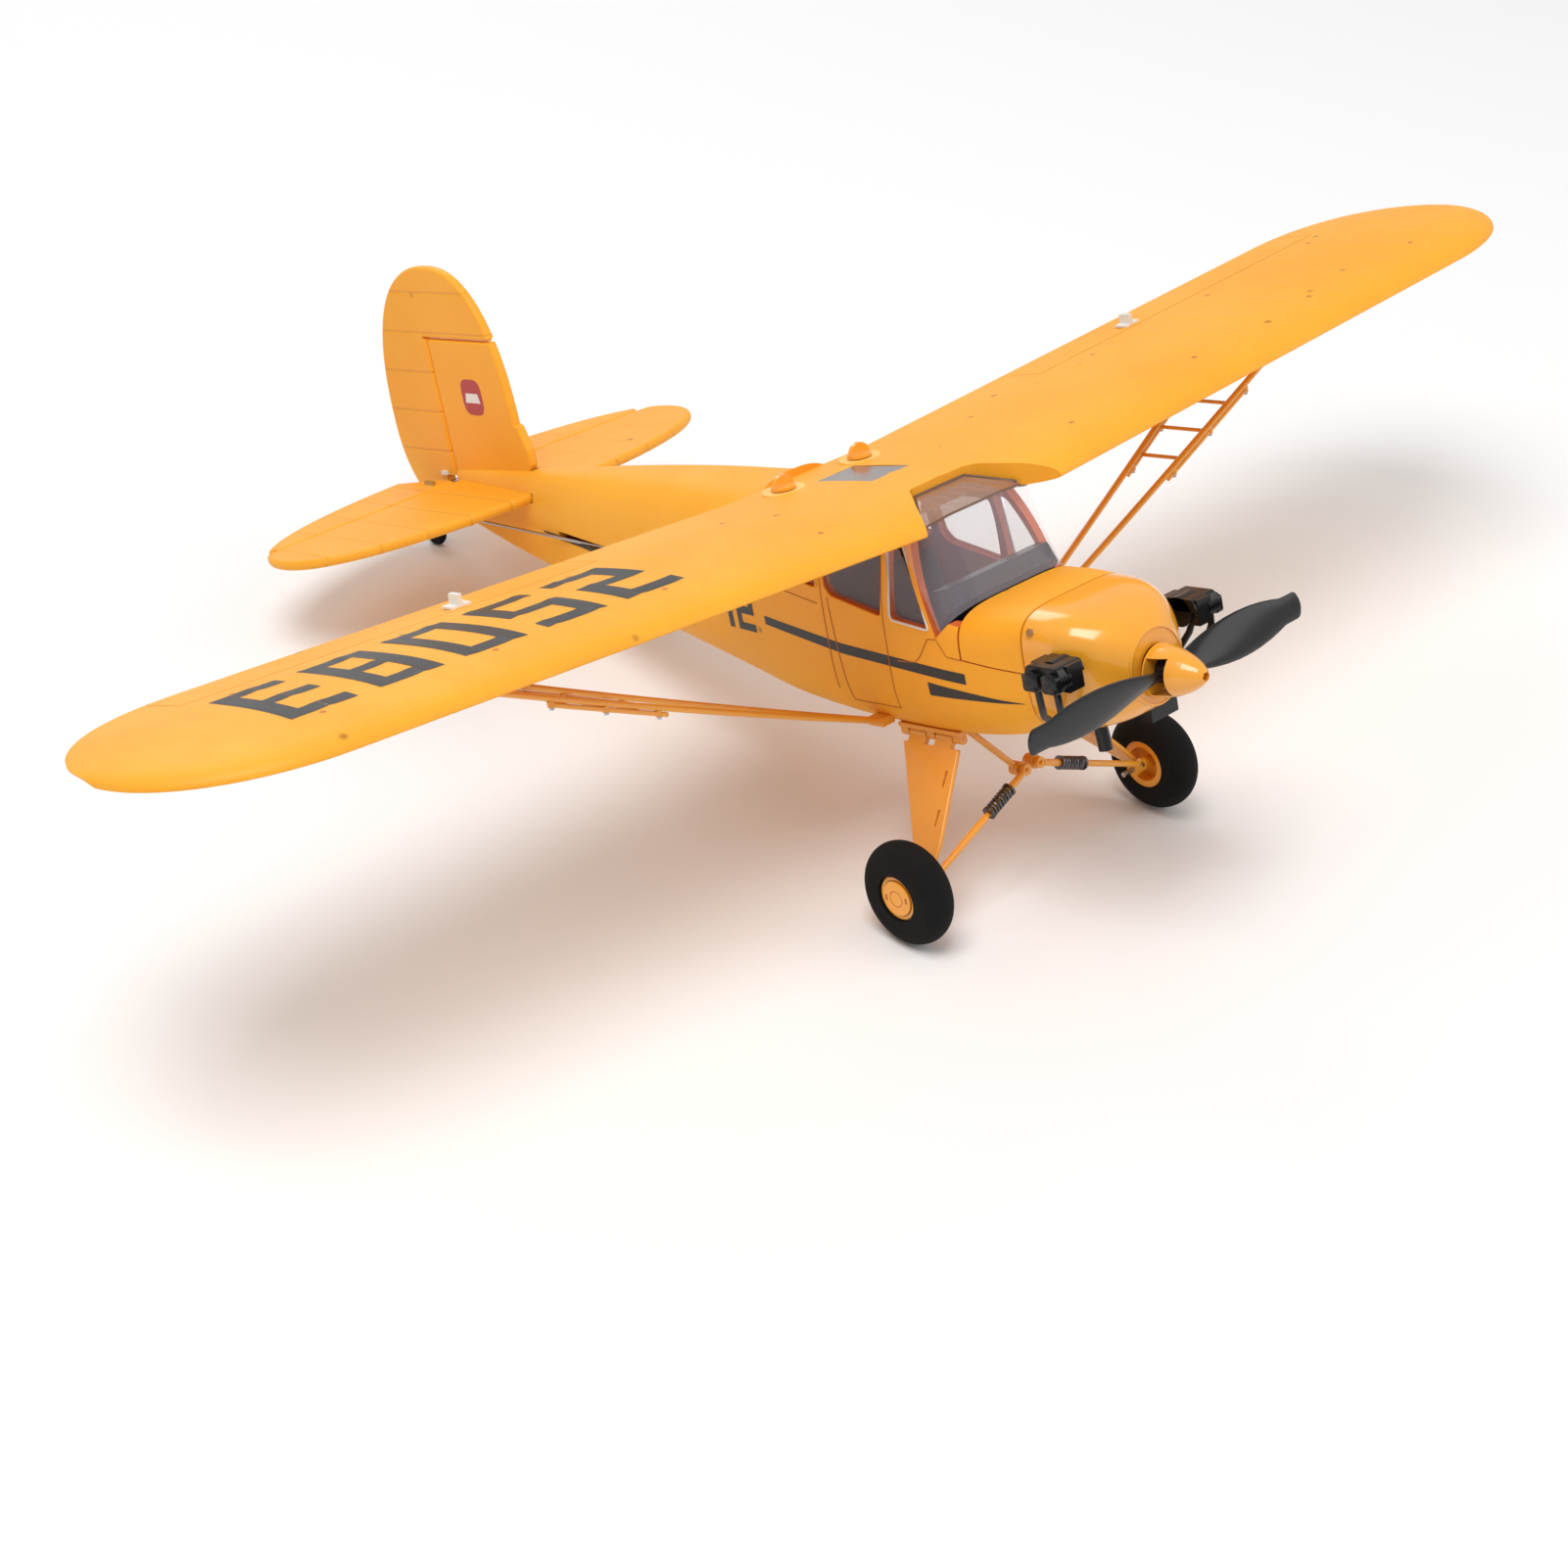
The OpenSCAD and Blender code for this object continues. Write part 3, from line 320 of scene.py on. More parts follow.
def boolean(obj, parts, operation="DIFFERENCE", overlapping=False):
    for part in parts:
        cutter = make("cutter", *part)
        modifier = obj.modifiers.new("cut", "BOOLEAN")
        modifier.operation, modifier.solver, modifier.object = operation, "EXACT", cutter
        modifier.use_self = overlapping
        bpy.context.view_layer.update()
        mesh = bpy.data.meshes.new_from_object(obj.evaluated_get(bpy.context.evaluated_depsgraph_get()))
        obj.modifiers.clear()
        old, obj.data = obj.data, mesh
        bpy.data.meshes.remove(old)
        bpy.data.objects.remove(cutter)
    return recrease(obj)


# ---- materials ----
def wire(tree, kind, **values):
    node = tree.nodes.new(kind)
    for key, value in values.items():
        if key in node.inputs:
            node.inputs[key].default_value = value
        else:
            setattr(node, key, value)
    return node


def coordinates(tree):
    """Object coordinates turned into the airframe's axes, in metres."""
    coord = wire(tree, "ShaderNodeTexCoord")
    mapping = wire(tree, "ShaderNodeMapping")
    back = SEAT.inverted()
    mapping.inputs["Rotation"].default_value = back.to_euler()
    mapping.inputs["Location"].default_value = back.translation
    tree.links.new(coord.outputs["Object"], mapping.inputs["Vector"])
    return mapping.outputs["Vector"]


def ramp(tree, source, low, high, a, b):
    node = wire(tree, "ShaderNodeMapRange")
    for key, value in (("From Min", low), ("From Max", high), ("To Min", a), ("To Max", b)):
        node.inputs[key].default_value = value
    tree.links.new(source, node.inputs["Value"])
    return node.outputs["Result"]


def surface_material(name, colour, dark, rough, grain=900.0, grain_depth=0.04, cells=0.0, cell_depth=0.0,
                     pits=0.0, metallic=0.0, coat=0.0, mottle=14.0, rib=None, **extra):
    """Two-tone procedural finish: soft patches of both colours, with grain, bead cells and pits in relief,
    the pits also painted darker as painted shade.
    """
    material = bpy.data.materials.new(name)
    material.use_nodes = True
    tree = material.node_tree
    shader = tree.nodes["Principled BSDF"]
    shader.inputs["Metallic"].default_value = metallic
    shader.inputs["Coat Weight"].default_value = coat
    shader.inputs["Coat Roughness"].default_value = 0.12
    for key, value in extra.items():
        shader.inputs[key.replace("_", " ")].default_value = value
    where = coordinates(tree)
    patch = wire(tree, "ShaderNodeTexNoise", Scale=mottle, Detail=5.0, Roughness=0.6)
    tree.links.new(where, patch.inputs["Vector"])
    mix = wire(tree, "ShaderNodeMix", data_type="RGBA")
    for socket in mix.inputs:
        if socket.type == "RGBA":
            socket.default_value = (*(colour if socket.name == "A" else dark), 1)
    tree.links.new(ramp(tree, patch.outputs["Fac"], 0.35, 0.72, 0.0, 1.0), mix.inputs["Factor"])
    colour_out = [s for s in mix.outputs if s.type == "RGBA"][0]
    roughness = ramp(tree, patch.outputs["Fac"], 0.3, 0.7, rough - 0.05, rough + 0.07)
    tree.links.new(roughness, shader.inputs["Roughness"])
    fine = wire(tree, "ShaderNodeTexNoise", Scale=grain, Detail=3.0)
    tree.links.new(where, fine.inputs["Vector"])
    bump = wire(tree, "ShaderNodeBump", Strength=0.35, Distance=grain_depth * MM)
    tree.links.new(fine.outputs["Fac"], bump.inputs["Height"])
    normal = bump.outputs["Normal"]
    if cells:
        bead = wire(tree, "ShaderNodeTexVoronoi", Scale=cells, feature="DISTANCE_TO_EDGE")
        tree.links.new(where, bead.inputs["Vector"])
        more = wire(tree, "ShaderNodeBump", Strength=0.5, Distance=cell_depth * MM)
        tree.links.new(ramp(tree, bead.outputs["Distance"], 0.0, 0.12, 0.0, 1.0), more.inputs["Height"])
        tree.links.new(normal, more.inputs["Normal"])
        normal = more.outputs["Normal"]
    if pits:
        pit = wire(tree, "ShaderNodeTexVoronoi", Scale=pits)
        tree.links.new(where, pit.inputs["Vector"])
        dot = ramp(tree, pit.outputs["Distance"], 0.03, 0.07, 0.0, 1.0)
        more = wire(tree, "ShaderNodeBump", Strength=0.6, Distance=0.2 * MM)
        tree.links.new(dot, more.inputs["Height"])
        tree.links.new(normal, more.inputs["Normal"])
        normal = more.outputs["Normal"]
        # Painted shade: the pits are painted a darker orange, standing in for the shade inside them.
        pit_shade = wire(tree, "ShaderNodeMix", data_type="RGBA")
        for socket in pit_shade.inputs:
            if socket.type == "RGBA":
                socket.default_value = (*[c * 0.55 for c in dark], 1)
        tree.links.new(dot, pit_shade.inputs["Factor"])
        target = [s for s in pit_shade.inputs if s.type == "RGBA" and s.name == "B"][0]
        tree.links.new(colour_out, target)
        colour_out = [s for s in pit_shade.outputs if s.type == "RGBA"][0]
    if rib:
        axis, pitch, depth = rib
        parts = wire(tree, "ShaderNodeSeparateXYZ")
        tree.links.new(where, parts.inputs["Vector"])
        wave = wire(tree, "ShaderNodeMath", operation="PINGPONG")
        wave.inputs[1].default_value = pitch / 2 * MM
        tree.links.new(parts.outputs[axis], wave.inputs[0])
        more = wire(tree, "ShaderNodeBump", Strength=0.8, Distance=depth * MM)
        tree.links.new(ramp(tree, wave.outputs[0], 0.0, 0.9 * MM, 0.0, 1.0), more.inputs["Height"])
        tree.links.new(normal, more.inputs["Normal"])
        normal = more.outputs["Normal"]
    tree.links.new(colour_out, shader.inputs["Base Color"])
    tree.links.new(normal, shader.inputs["Normal"])
    return material


ORANGE, ORANGE_DARK = (0.92, 0.4, 0.02), (0.86, 0.345, 0.015)
FOAM_RELIEF = {"grain": 700, "grain_depth": 0.05, "cells": 420, "cell_depth": 0.03, "pits": 38,
               "Specular_IOR_Level": 0.35, "Subsurface_Weight": 0.12, "Subsurface_Scale": 0.002}
FOAM = surface_material("foam_skin", ORANGE, ORANGE_DARK, 0.5, **FOAM_RELIEF)
PALE = surface_material("pale_plate", (0.95, 0.56, 0.13), (0.9, 0.5, 0.1), 0.38, grain=500, grain_depth=0.04)
# Darker, redder orange for the inner walls of the cabin: painted shade inside the fuselage.
FOAM_IN_SHADE = surface_material("foam_inside_painted_shade", (0.72, 0.16, 0.02), (0.6, 0.11, 0.015), 0.6, cells=420,
                           cell_depth=0.05)
PLASTIC = surface_material("gloss_plastic", (0.9, 0.38, 0.026), (0.84, 0.33, 0.02), 0.2, grain=260,
                           grain_depth=0.05, coat=0.6, mottle=30)
BRACE = surface_material("brace_plastic", (0.88, 0.38, 0.035), (0.78, 0.3, 0.028), 0.32, grain=500,
                         grain_depth=0.04, coat=0.3)
BLACK = surface_material("black_plastic", (0.006, 0.006, 0.0065), (0.01, 0.01, 0.011), 0.3, grain=500,
                         grain_depth=0.05,
                         coat=0.1, Specular_IOR_Level=0.35)
GREY = surface_material("grey_foam", (0.045, 0.045, 0.05), (0.07, 0.07, 0.075), 0.6, cells=500,
                        cell_depth=0.04)
RUBBER = surface_material("foam_rubber", (0.006, 0.006, 0.006), (0.011, 0.011, 0.011), 0.8, grain=1500,
                          grain_depth=0.12,
                          cells=1400, cell_depth=0.05, Specular_IOR_Level=0.15)
WHITE = surface_material("white_nylon", (0.78, 0.77, 0.73), (0.68, 0.67, 0.62), 0.4, grain=600,
                         grain_depth=0.03)
STEEL = surface_material("bright_wire", (0.55, 0.56, 0.58), (0.42, 0.43, 0.45), 0.24, metallic=1.0, grain=900,
                         grain_depth=0.02)
DARK_STEEL = surface_material("spring_steel", (0.16, 0.16, 0.17), (0.1, 0.1, 0.11), 0.3, metallic=1.0,
                              grain=900, grain_depth=0.02)
ALU = surface_material("turned_aluminium", (0.6, 0.6, 0.62), (0.5, 0.5, 0.52), 0.28, metallic=1.0, grain=1200,
                       grain_depth=0.02)
COPPER = surface_material("wound_copper", (0.55, 0.22, 0.08), (0.4, 0.15, 0.05), 0.35, metallic=1.0,
                          rib=("Y", 1.0, 0.3))
WRAP = surface_material("battery_film", (0.02, 0.06, 0.25), (0.015, 0.04, 0.18), 0.25, coat=0.4)
STRAP = surface_material("hook_strap", (0.012, 0.012, 0.012), (0.03, 0.03, 0.03), 0.85, grain=2500,
                         grain_depth=0.3)
BOARD = surface_material("circuit_board", (0.01, 0.1, 0.04), (0.01, 0.07, 0.03), 0.35, rib=("X", 2.0, 0.1))
RED = surface_material("red_paint", (0.45, 0.02, 0.015), (0.36, 0.015, 0.01), 0.35)
INK = surface_material("black_ink", (0.014, 0.013, 0.013), (0.024, 0.022, 0.02), 0.42, grain=700,
                       grain_depth=0.03)


def sheet_material(name, tint, cover, rough, wrinkle=0.02, grain=40):
    """Thin clear sheet: cover is how much of what lies behind it hides."""
    return surface_material(name, tint, [c * 0.9 for c in tint], rough, grain=grain, grain_depth=wrinkle,
                            mottle=20,
                            coat=1.0, Alpha=cover)


GLASS = sheet_material("clear_sheet", (0.78, 0.74, 0.84), 0.1, 0.06)
PANE = sheet_material("side_sheet", (0.36, 0.31, 0.36), 0.16, 0.06)
FROST = sheet_material("frosted_flange", (0.4, 0.22, 0.15), 0.58, 0.22, 0.9, 140)
SMOKED = sheet_material("smoked_sheet", (0.2, 0.14, 0.13), 0.72, 0.12)

# ---- wing ----
RIB = 17.2


def rib_swell(x, t):
    ridge = abs(math.cos(math.pi * x / RIB)) ** 14
    fade = max(0.0, min(1.0, (t - 0.03) / 0.12)) * max(0.0, min(1.0, (0.74 - t) / 0.06))
    return 0.3 * ridge * fade * max(0.0, min(1.0, (HALF - 8 - abs(x)) / 30))


def wing_loft():
    xs = list(np.arange(0, TIP_FROM, RIB / 8)) + [TIP_FROM + 60 * math.sin(math.pi / 2 * k / 30)
                                                  for k in range(31)]
    xs = [-x for x in xs[::-1]] + xs[1:]
    n = 34
    loops = []
    for x in xs:
        under = [wing_point(x, 0.5 - 0.5 * math.cos(math.pi * i / n), False) for i in range(n, -1, -1)]
        over = []
        for i in range(1, n + 1):
            t = 0.5 - 0.5 * math.cos(math.pi * i / n)
            over.append(wing_point(x, t, True, rib_swell(x, t)))
        loops.append(under + over)
    return loft(loops)


def bay(inset, lean):
    z = top_z(AIL_IN, HINGE_Y)
    out = inset + 14 * math.tan(math.radians(lean))
    points = [(HINGE_Y + inset, 12), (HINGE_Y + inset, 0), (HINGE_Y + out, -14), (CHORD + 9, -14),
              (CHORD + 9, 12)]
    part = prism_x(points, inset, AIL_OUT - AIL_IN - inset)
    part = tilted(part)
    return [(x + AIL_IN, y, v + z) for x, y, v in part[0]], part[1]


HORN_X = 166.0
PIVOT_Z = top_z(HORN_X, HINGE_Y)
SERVO_Z = under_z(HORN_X, 41) + 1.6
NOTCH = [(12.5, 27), (15.5, 25), (19, 20), (25, 12), (29, 6), (33, 0), (34, -10)]
PLATE_Z = 5.3
KNOB_X, KNOB_Y = 19, 87
notch_outline = [(-x, y) for x, y in NOTCH][::-1] + NOTCH
at_horn = (HORN_X, PIVOT_Z)
servo_pocket = tilted(box_part((HORN_X - 14.4, 35.2, SERVO_Z - 8), (HORN_X + 1.8, 59.6, SERVO_Z + 3.2)),
                      at_horn)
circle = [(math.cos(2 * math.pi * k / 48), math.sin(2 * math.pi * k / 48)) for k in range(48)]


def round_hole(x, y, r, z0, z1):
    return prism_z([(x + r * c, y + r * s) for c, s in circle], z0, z1)


wing_part = wing_loft()
wing = make("wing_skin", *wing_part)
boolean(wing, both(bay(0.0, 0.0))
        + [prism_z(notch_outline, -20, 40), box_part((-9.2, 50.3, -20), (9.2, 79.7, 30))]
        + both(servo_pocket) + both(round_hole(KNOB_X, KNOB_Y, 8, PLATE_Z, 30))
        + both(round_hole(KNOB_X, KNOB_Y, 2.6, -20, 30)))
finish(wing, "airframe", FOAM, ["wing"])
for side, name in ((1, "left"), (-1, "right")):
    aileron = make("aileron_skin_" + name, *wing_part)
    cut = bay(0.4, 26)
    slot = tilted(box_part((HORN_X - 1, HINGE_Y + 3, 0), (HORN_X + 1, HINGE_Y + 8, 40)), at_horn)
    if side < 0:
        cut, slot = mirrored(cut), mirrored(slot)
    boolean(aileron, [cut], "INTERSECT")
    boolean(aileron, [slot])
    finish(aileron, "aileron_" + name, FOAM, ["aileron_" + name])


def wing_top(x, y, lift):
    t = y / CHORD
    return (x, y, wing_point(x, t, True, rib_swell(x, t))[2] + lift)


def laid(points, place, lift=0.07, x_step=3.0):
    """Flat decal outlines subdivided finely and laid on a surface by place(x, y, lift)."""
    bm = bmesh.new()
    for poly in points:
        bm.faces.new([bm.verts.new((x, y, 0)) for x, y in poly])
    bmesh.ops.triangulate(bm, faces=bm.faces)
    for _ in range(6):
        long_edges = [e for e in bm.edges if e.calc_length() > x_step]
        if not long_edges:
            break
        bmesh.ops.subdivide_edges(bm, edges=long_edges, cuts=1, use_grid_fill=False)
        bmesh.ops.triangulate(bm, faces=[f for f in bm.faces if len(f.verts) > 3])
    bm.verts.ensure_lookup_table()
    for i, v in enumerate(bm.verts):
        v.index = i
    verts = [place(v.co.x, v.co.y, lift) for v in bm.verts]
    faces = [[v.index for v in f.verts] for f in bm.faces]
    bm.free()
    return verts, faces


# Generic racing number in seven-bar digits: the bars of each digit, and where each bar runs
STROKES = {"0": "abcdef", "3": "abgcd", "5": "afgcd", "7": "abc", "2": "abged", "8": "abcdefg"}
SEGMENTS = {"a": ((0, 2), (1, 2)), "b": ((1, 2), (1, 1)), "c": ((1, 1), (1, 0)), "d": ((0, 0), (1, 0)),
            "e": ((0, 1), (0, 0)), "f": ((0, 2), (0, 1)), "g": ((0, 1), (1, 1))}


def digit(sign, x0, y0, width, height, stroke):
    """Outlines of a digit whose foot is at (x0, y0), reading with -x to the right and -y up."""
    bars = []
    for key in STROKES[sign]:
        (u0, v0), (u1, v1) = SEGMENTS[key]
        p = Vector((u0 * width, v0 * height / 2))
        q = Vector((u1 * width, v1 * height / 2))
        d = (q - p).normalized() * stroke / 2
        n = Vector((-d.y, d.x))
        corners = [p - d - n, q + d - n, q + d + n, p - d + n]
        bars.append([(x0 - c.x, y0 - c.y) for c in corners])
    return bars


number = []
for k, sign in enumerate("25083"):
    number += digit(sign, -123 - 32 * k, 66, 17, 40, 7)
finish(make("wing_number", *laid(number, wing_top)), "airframe", INK)

# Ejector dots and the small mould marks of the wing's top
dots = []
for x in (-62, -130, -198, -262, 62, 130, 198, 262):
    for y in (20, 71):
        dots.append([(x + 1.1 * c, y + 1.1 * s) for c, s in circle[::3]])
MARK = surface_material("mould_mark", (0.62, 0.2, 0.015), (0.55, 0.17, 0.012), 0.5)
finish(make("mould_marks", *laid(dots, wing_top, 0.05)), "airframe", MARK)

# ---- fuselage ----
SHELL_Y = sorted(set(list(np.arange(-30, 24, 3.0)) + list(np.arange(24, 315, 6.0)) + [315.0]))


def shell_loops(wall=WALL, n=40):
    loops = []
    for y in SHELL_Y:
        t = min(wall, station(y)[0] * 0.72)
        loops.append([skin(y, 180 * i / n) for i in range(n, -1, -1)]
                     + [skin(y, 180 * i / n, t) for i in range(n + 1)])
    return loops


seat = [(CHORD * i / 24, under_z(0, CHORD * i / 24) - 0.02) for i in range(25)] + [(CHORD + 0.4, 40), (0, 40)]
opening = [(-31, -46.8), (-3.1, -43.5), (-3.1, -32), (0.4, -31), (6.6, -36.4), (17.5, -1), (17.5, 40),
           (-31, 40)]
WINDOWS = [
    [(9.2, -34), (28.3, -31.9), (27, -4.8), (19.8, -5)],
    [(32.4, -31.7), (58, -26.5), (61, -23), (61.5, -6.5), (29.3, -6.7)],
    [(65, -24.5), (83, -21.5), (95, -6.5), (65.5, -6.5)]]


def rounded(points, r, steps=4):
    """Corners of an outline rounded with small arcs."""
    out = []
    n = len(points)
    for i in range(n):
        p = Vector(points[i])
        a = (Vector(points[i - 1]) - p)
        b = (Vector(points[(i + 1) % n]) - p)
        k = min(r, a.length / 3, b.length / 3)
        a, b = p + a.normalized() * k, p + b.normalized() * k
        for s in range(steps + 1):
            t = s / steps
            out.append(tuple(a * (1 - t) ** 2 + p * 2 * t * (1 - t) + b * t * t))
    return out


def rod_band(a, b, span, h):
    z = [a[1] + (b[1] - a[1]) * (y - a[0]) / (b[0] - a[0]) for y in span]
    return [(span[0], z[0] - h), (span[1], z[1] - h), (span[1], z[1] + h), (span[0], z[0] + h)]


half_cuts = [prism_x(seat, -1, 60), prism_x(opening, -1, 60)]
half_cuts += [prism_x(rounded(w, 2.2), 20, 60) for w in WINDOWS]
half_cuts += [box_part((-1, 11, -90), (26, 42, -74.5)), round_hole(KNOB_X, KNOB_Y, 4.8, -9.3, 10.7),
              box_part((-1, 255, -15), (40, 335, -11)), box_part((-0.01, 262, -9), (2, 342, 31))]
left = boolean(make("fuselage_skin_left", *loft(shell_loops(), shell=True)), half_cuts)
right = left.copy()
right.data = left.data.copy()
right.name = "fuselage_skin_right"
bpy.context.scene.collection.objects.link(right)
for v in right.data.vertices:
    v.co.x *= -1
right.data.flip_normals()
boolean(left, [prism_x(rod_band((132, -41.8), (318.5, -19.4), (230, 290), 1.5), 4, 44)])
boolean(right, [prism_x(rod_band((102, -33), (316, -22), (188, 238), 1.9), -49.5, -9.5)])
finish(left, "airframe", FOAM, ["fuselage_left"])
finish(right, "airframe", FOAM, ["fuselage_right"])
# Inner cabin walls take the darker inside foam colour: painted shade.
for obj in (left, right):
    obj.data.materials.append(FOAM_IN_SHADE)
    for f in obj.data.polygons:
        c = SEAT.inverted() @ f.center / MM
        if c.y < 103 and abs(c.x) < skin_x(c.y, c.z) - 1.2:
            f.material_index = 1

# Nose hatch
HATCH_WALL = 3.8


def skin_loop(y, n, t=0.0):
    """Whole loop of n points round the fuselage at y, sunk inside by t."""
    loop = []
    for i in range(n):
        turn = 360 * i / n
        x, along, z = skin(y, min(360 - turn, turn) if i else 0.0, t)
        loop.append((x if 360 - turn < 180 else -x, along, z))
    return loop


hatch_part = loft([skin_loop(y, 96) for y in np.arange(-29.6, 9.01, 1.93)])
hollow = loft([skin_loop(y, 64, HATCH_WALL) for y in np.arange(-31, 10.01, 4.1)])
hatch = make("hatch_skin", *hatch_part)
boolean(hatch, [prism_x([(-29.6, -46.2), (-3.9, -43.1), (-3.9, 10), (-29.6, 10)], -50, 50)], "INTERSECT")
boolean(hatch, [hollow])
finish(hatch, "hatch", FOAM, ["hatch"])


# ---- windshield ----
FOOT_ARC, FOOT_POWER = 72, 4.5
BROW_AT = [0, 0.4, 0.7, 0.85, 1]
BROW_Y = [9.3, 9.6, 10.8, 12.6, 15.9]
BROW_Z = [1.6, 1.5, 0.5, -1.4, -2.7]
FLANGE_SHARE = 0.78


def foot(s):
    """Lower edge of the pane, s from -1 to 1 across it."""
    q = math.radians(FOOT_ARC * abs(s))
    z = -46 + 19.1 * soft(math.cos(q), FOOT_POWER)
    return Vector((math.copysign(31.3 * soft(math.sin(q), FOOT_POWER), s), -3 - 1.06 * (z + 26.9), z))


def brow(s):
    u = abs(s)
    return Vector((31.2 * s, float(np.interp(u, BROW_AT, BROW_Y)), float(np.interp(u, BROW_AT, BROW_Z))))


def flange_rear(s):
    u = abs(s)
    k = max(0.0, (u - 0.55) / 0.23)
    return Vector((math.copysign(12.2 * min(1.0, u / 0.55) + 11.2 * k, s), 26.6 - 13.7 * k, 6.3 - 4.8 * k))


def pane(s, k):
    bulge = Vector((0, -1.2 * (1 - s * s) * 4 * k * (1 - k), 0))
    return foot(s).lerp(brow(s), k) + bulge


steps = [i / 40 for i in range(-40, 41)]
rows = [[tuple(pane(s, k / 14)) for k in range(15)] for s in steps]
back = [[tuple(pane(s, k / 14) + Vector((0, 0.55, -0.1))) for k in range(15)] for s in steps]
finish(make("windshield_pane", *grid(rows, back)), "airframe", GLASS, ["windshield"])


def flange_point(s, k):
    ripple = 0.28 * math.sin(5 * math.pi * s + 9 * k) * math.sin(math.pi * k) * math.sin(14 * s)
    p = brow(s).lerp(flange_rear(s), k)
    return p + Vector((0, 0, 0.9 * math.sin(math.pi * k) * 0.6 + ripple))


ends = [FLANGE_SHARE * s for s in steps]
rows = [[tuple(flange_point(s, k / 12)) for k in range(13)] for s in ends]
back = [[tuple(flange_point(s, k / 12) + Vector((0, 0.1, -0.5))) for k in range(13)] for s in ends]
finish(make("windshield_flange", *grid(rows, back)), "airframe", FROST)
# Dark lines drawn along the flange's rear edge and along the pane's brow.
edge = [tuple(brow(s) + Vector((0, -0.1, 0.25))) for s in steps]
rim = [tuple(flange_rear(s) + Vector((0, -0.3, 0.1))) for s in ends]
finish(joined("flange_edges", [tube(rim, 0.45, 8), tube(edge, 0.32, 8)]), "airframe",
       surface_material("dark_flange_edges", (0.12, 0.06, 0.035), (0.2, 0.1, 0.06), 0.4))

# Side panes and gasket lines follow the fuselage's side
panes, gaskets = [], []
for outline in WINDOWS:
    ring = rounded(outline, 2.2)
    panes.append(prism_x(ring, 29.7, 30.1))
    loop = [(skin_x(y, z, 0.12), y, z) for y, z in ring]
    gaskets.append(tube(loop + loop[:2], 0.42, 8))
finish(joined("side_panes", twice(panes)), "airframe", PANE, ["side_windows"])
finish(joined("window_gaskets", both(gaskets[0])), "airframe", WHITE)
finish(joined("window_reveals", twice(gaskets[1:])), "airframe", FOAM)


# ---- side decals, doors and engraved lines ----
def on_side(points, lift, side=1):
    return [(side * skin_x(y, z, lift), y, z) for y, z in points]


def side_strip(upper, lower, lift, side):
    """Band on the fuselage's side between two lines of (y, z)."""
    rows = []
    y0, y1 = upper[0][0], upper[-1][0]
    for y in np.arange(y0, y1 + 0.01, 2.0):
        a = float(np.interp(y, [p[0] for p in upper], [p[1] for p in upper]))
        b = float(np.interp(y, [p[0] for p in lower], [p[1] for p in lower]))
        row = [a + (b - a) * k / 4 for k in range(5)]
        rows.append(on_side([(y, z) for z in row], lift, side))
    return grid(rows)


band_top = [(-4, -48.3), (56, -43.8), (99.6, -38.3)]
band_low = [(-4, -52.2), (56, -47.7), (99.6, -41.5)]
point_top = [(-27.3, -57.4), (15, -53.2)]
point_low = [(-27.3, -57.6), (15, -58.2)]
rear_top = [(140, -34.8), (226, -26.4), (250, -25.2)]
rear_low = [(140, -37.8), (226, -28.2), (250, -25.9)]
stripes = [side_strip(top, low, 0.07, s) for s in (1, -1)
           for top, low in ((band_top, band_low), (point_top, point_low), (rear_top, rear_low))]
NUMBER_Y, NUMBER_Z = 117, -44.5
side_number = [[(-x, y) for x, y in bar] for bar in digit("7", -106, 0, 8, 13, 3)
               + digit("2", -120, 0, 8, 13, 3)]
for s in (1, -1):
    def beside(x, y, lift, s=s):
        along = x if s > 0 else 2 * NUMBER_Y - x
        return (s * skin_x(along, NUMBER_Z - y, lift), along, NUMBER_Z - y)
    stripes.append(laid(side_number, beside))
finish(joined("side_stripes", stripes), "airframe", INK)


def engraved(points, side, radius=0.22):
    dense = []
    for (y0, z0), (y1, z1) in zip(points[:-1], points[1:]):
        n = max(2, int(math.hypot(y1 - y0, z1 - z0) / 2.5))
        dense += [(y0 + (y1 - y0) * k / n, z0 + (z1 - z0) * k / n) for k in range(n)]
    dense.append(points[-1])
    return tube(on_side(dense, 0.02, side), radius, 6)


GROOVE = surface_material("groove_shade", (0.5, 0.15, 0.012), (0.42, 0.12, 0.01), 0.6)
lines = [
    [(29.6, -6.5), (32, -31.5), (33, -66), (57, -66), (60, -27)],
    [(-3.5, -43.4), (3, -42.7), (6.8, -36.8), (11, -37.2), (16.2, -44.1), (19, -46.5), (28, -47)],
    [(63, -6), (63, -62)],
    [(66, -30), (96, -25.4)],
]
finish(joined("panel_lines", [engraved(line, s) for line in lines for s in (1, -1)]), "airframe", GROOVE)

# ---- tail ----
SURFACE = 2.0  # half the thickness of the tail plates
RUDDER_Y, FIN_END, FIN_TOP = 318.5, 315.9, 48.6
STAB_END = 313.7


def in_oval(x, y, centre, rx, ry, e, d):
    """Whether a point lies in an uneven superellipse shrunk by d."""
    u = (x - centre[0]) / (rx[1 if x > centre[0] else 0] - d)
    v = (y - centre[1]) / (ry[1 if y > centre[1] else 0] - d)
    return abs(u) ** e + abs(v) ** e <= 1


def outline_of(keep, centre, d, n=360):
    """Edge of the region keep(x, y, d), found along rays from a centre that sees all of it."""
    out = []
    for i in range(n):
        a = 2 * math.pi * i / n
        low, high = 0.0, 150.0
        for _ in range(20):
            middle = (low + high) / 2
            if keep(centre[0] + middle * math.cos(a), centre[1] + middle * math.sin(a), d):
                low = middle
            else:
                high = middle
        out.append(Vector((centre[0] + low * math.cos(a), centre[1] + low * math.sin(a))))
    return out


def edge_levels(half, round_to):
    levels = [(round_to * (1 - math.cos(a)), half * math.sin(a))
              for a in (math.radians(v) for v in (0, 18, 36, 54, 72, 90))]
    return levels + [(round_to + 0.4, half)]


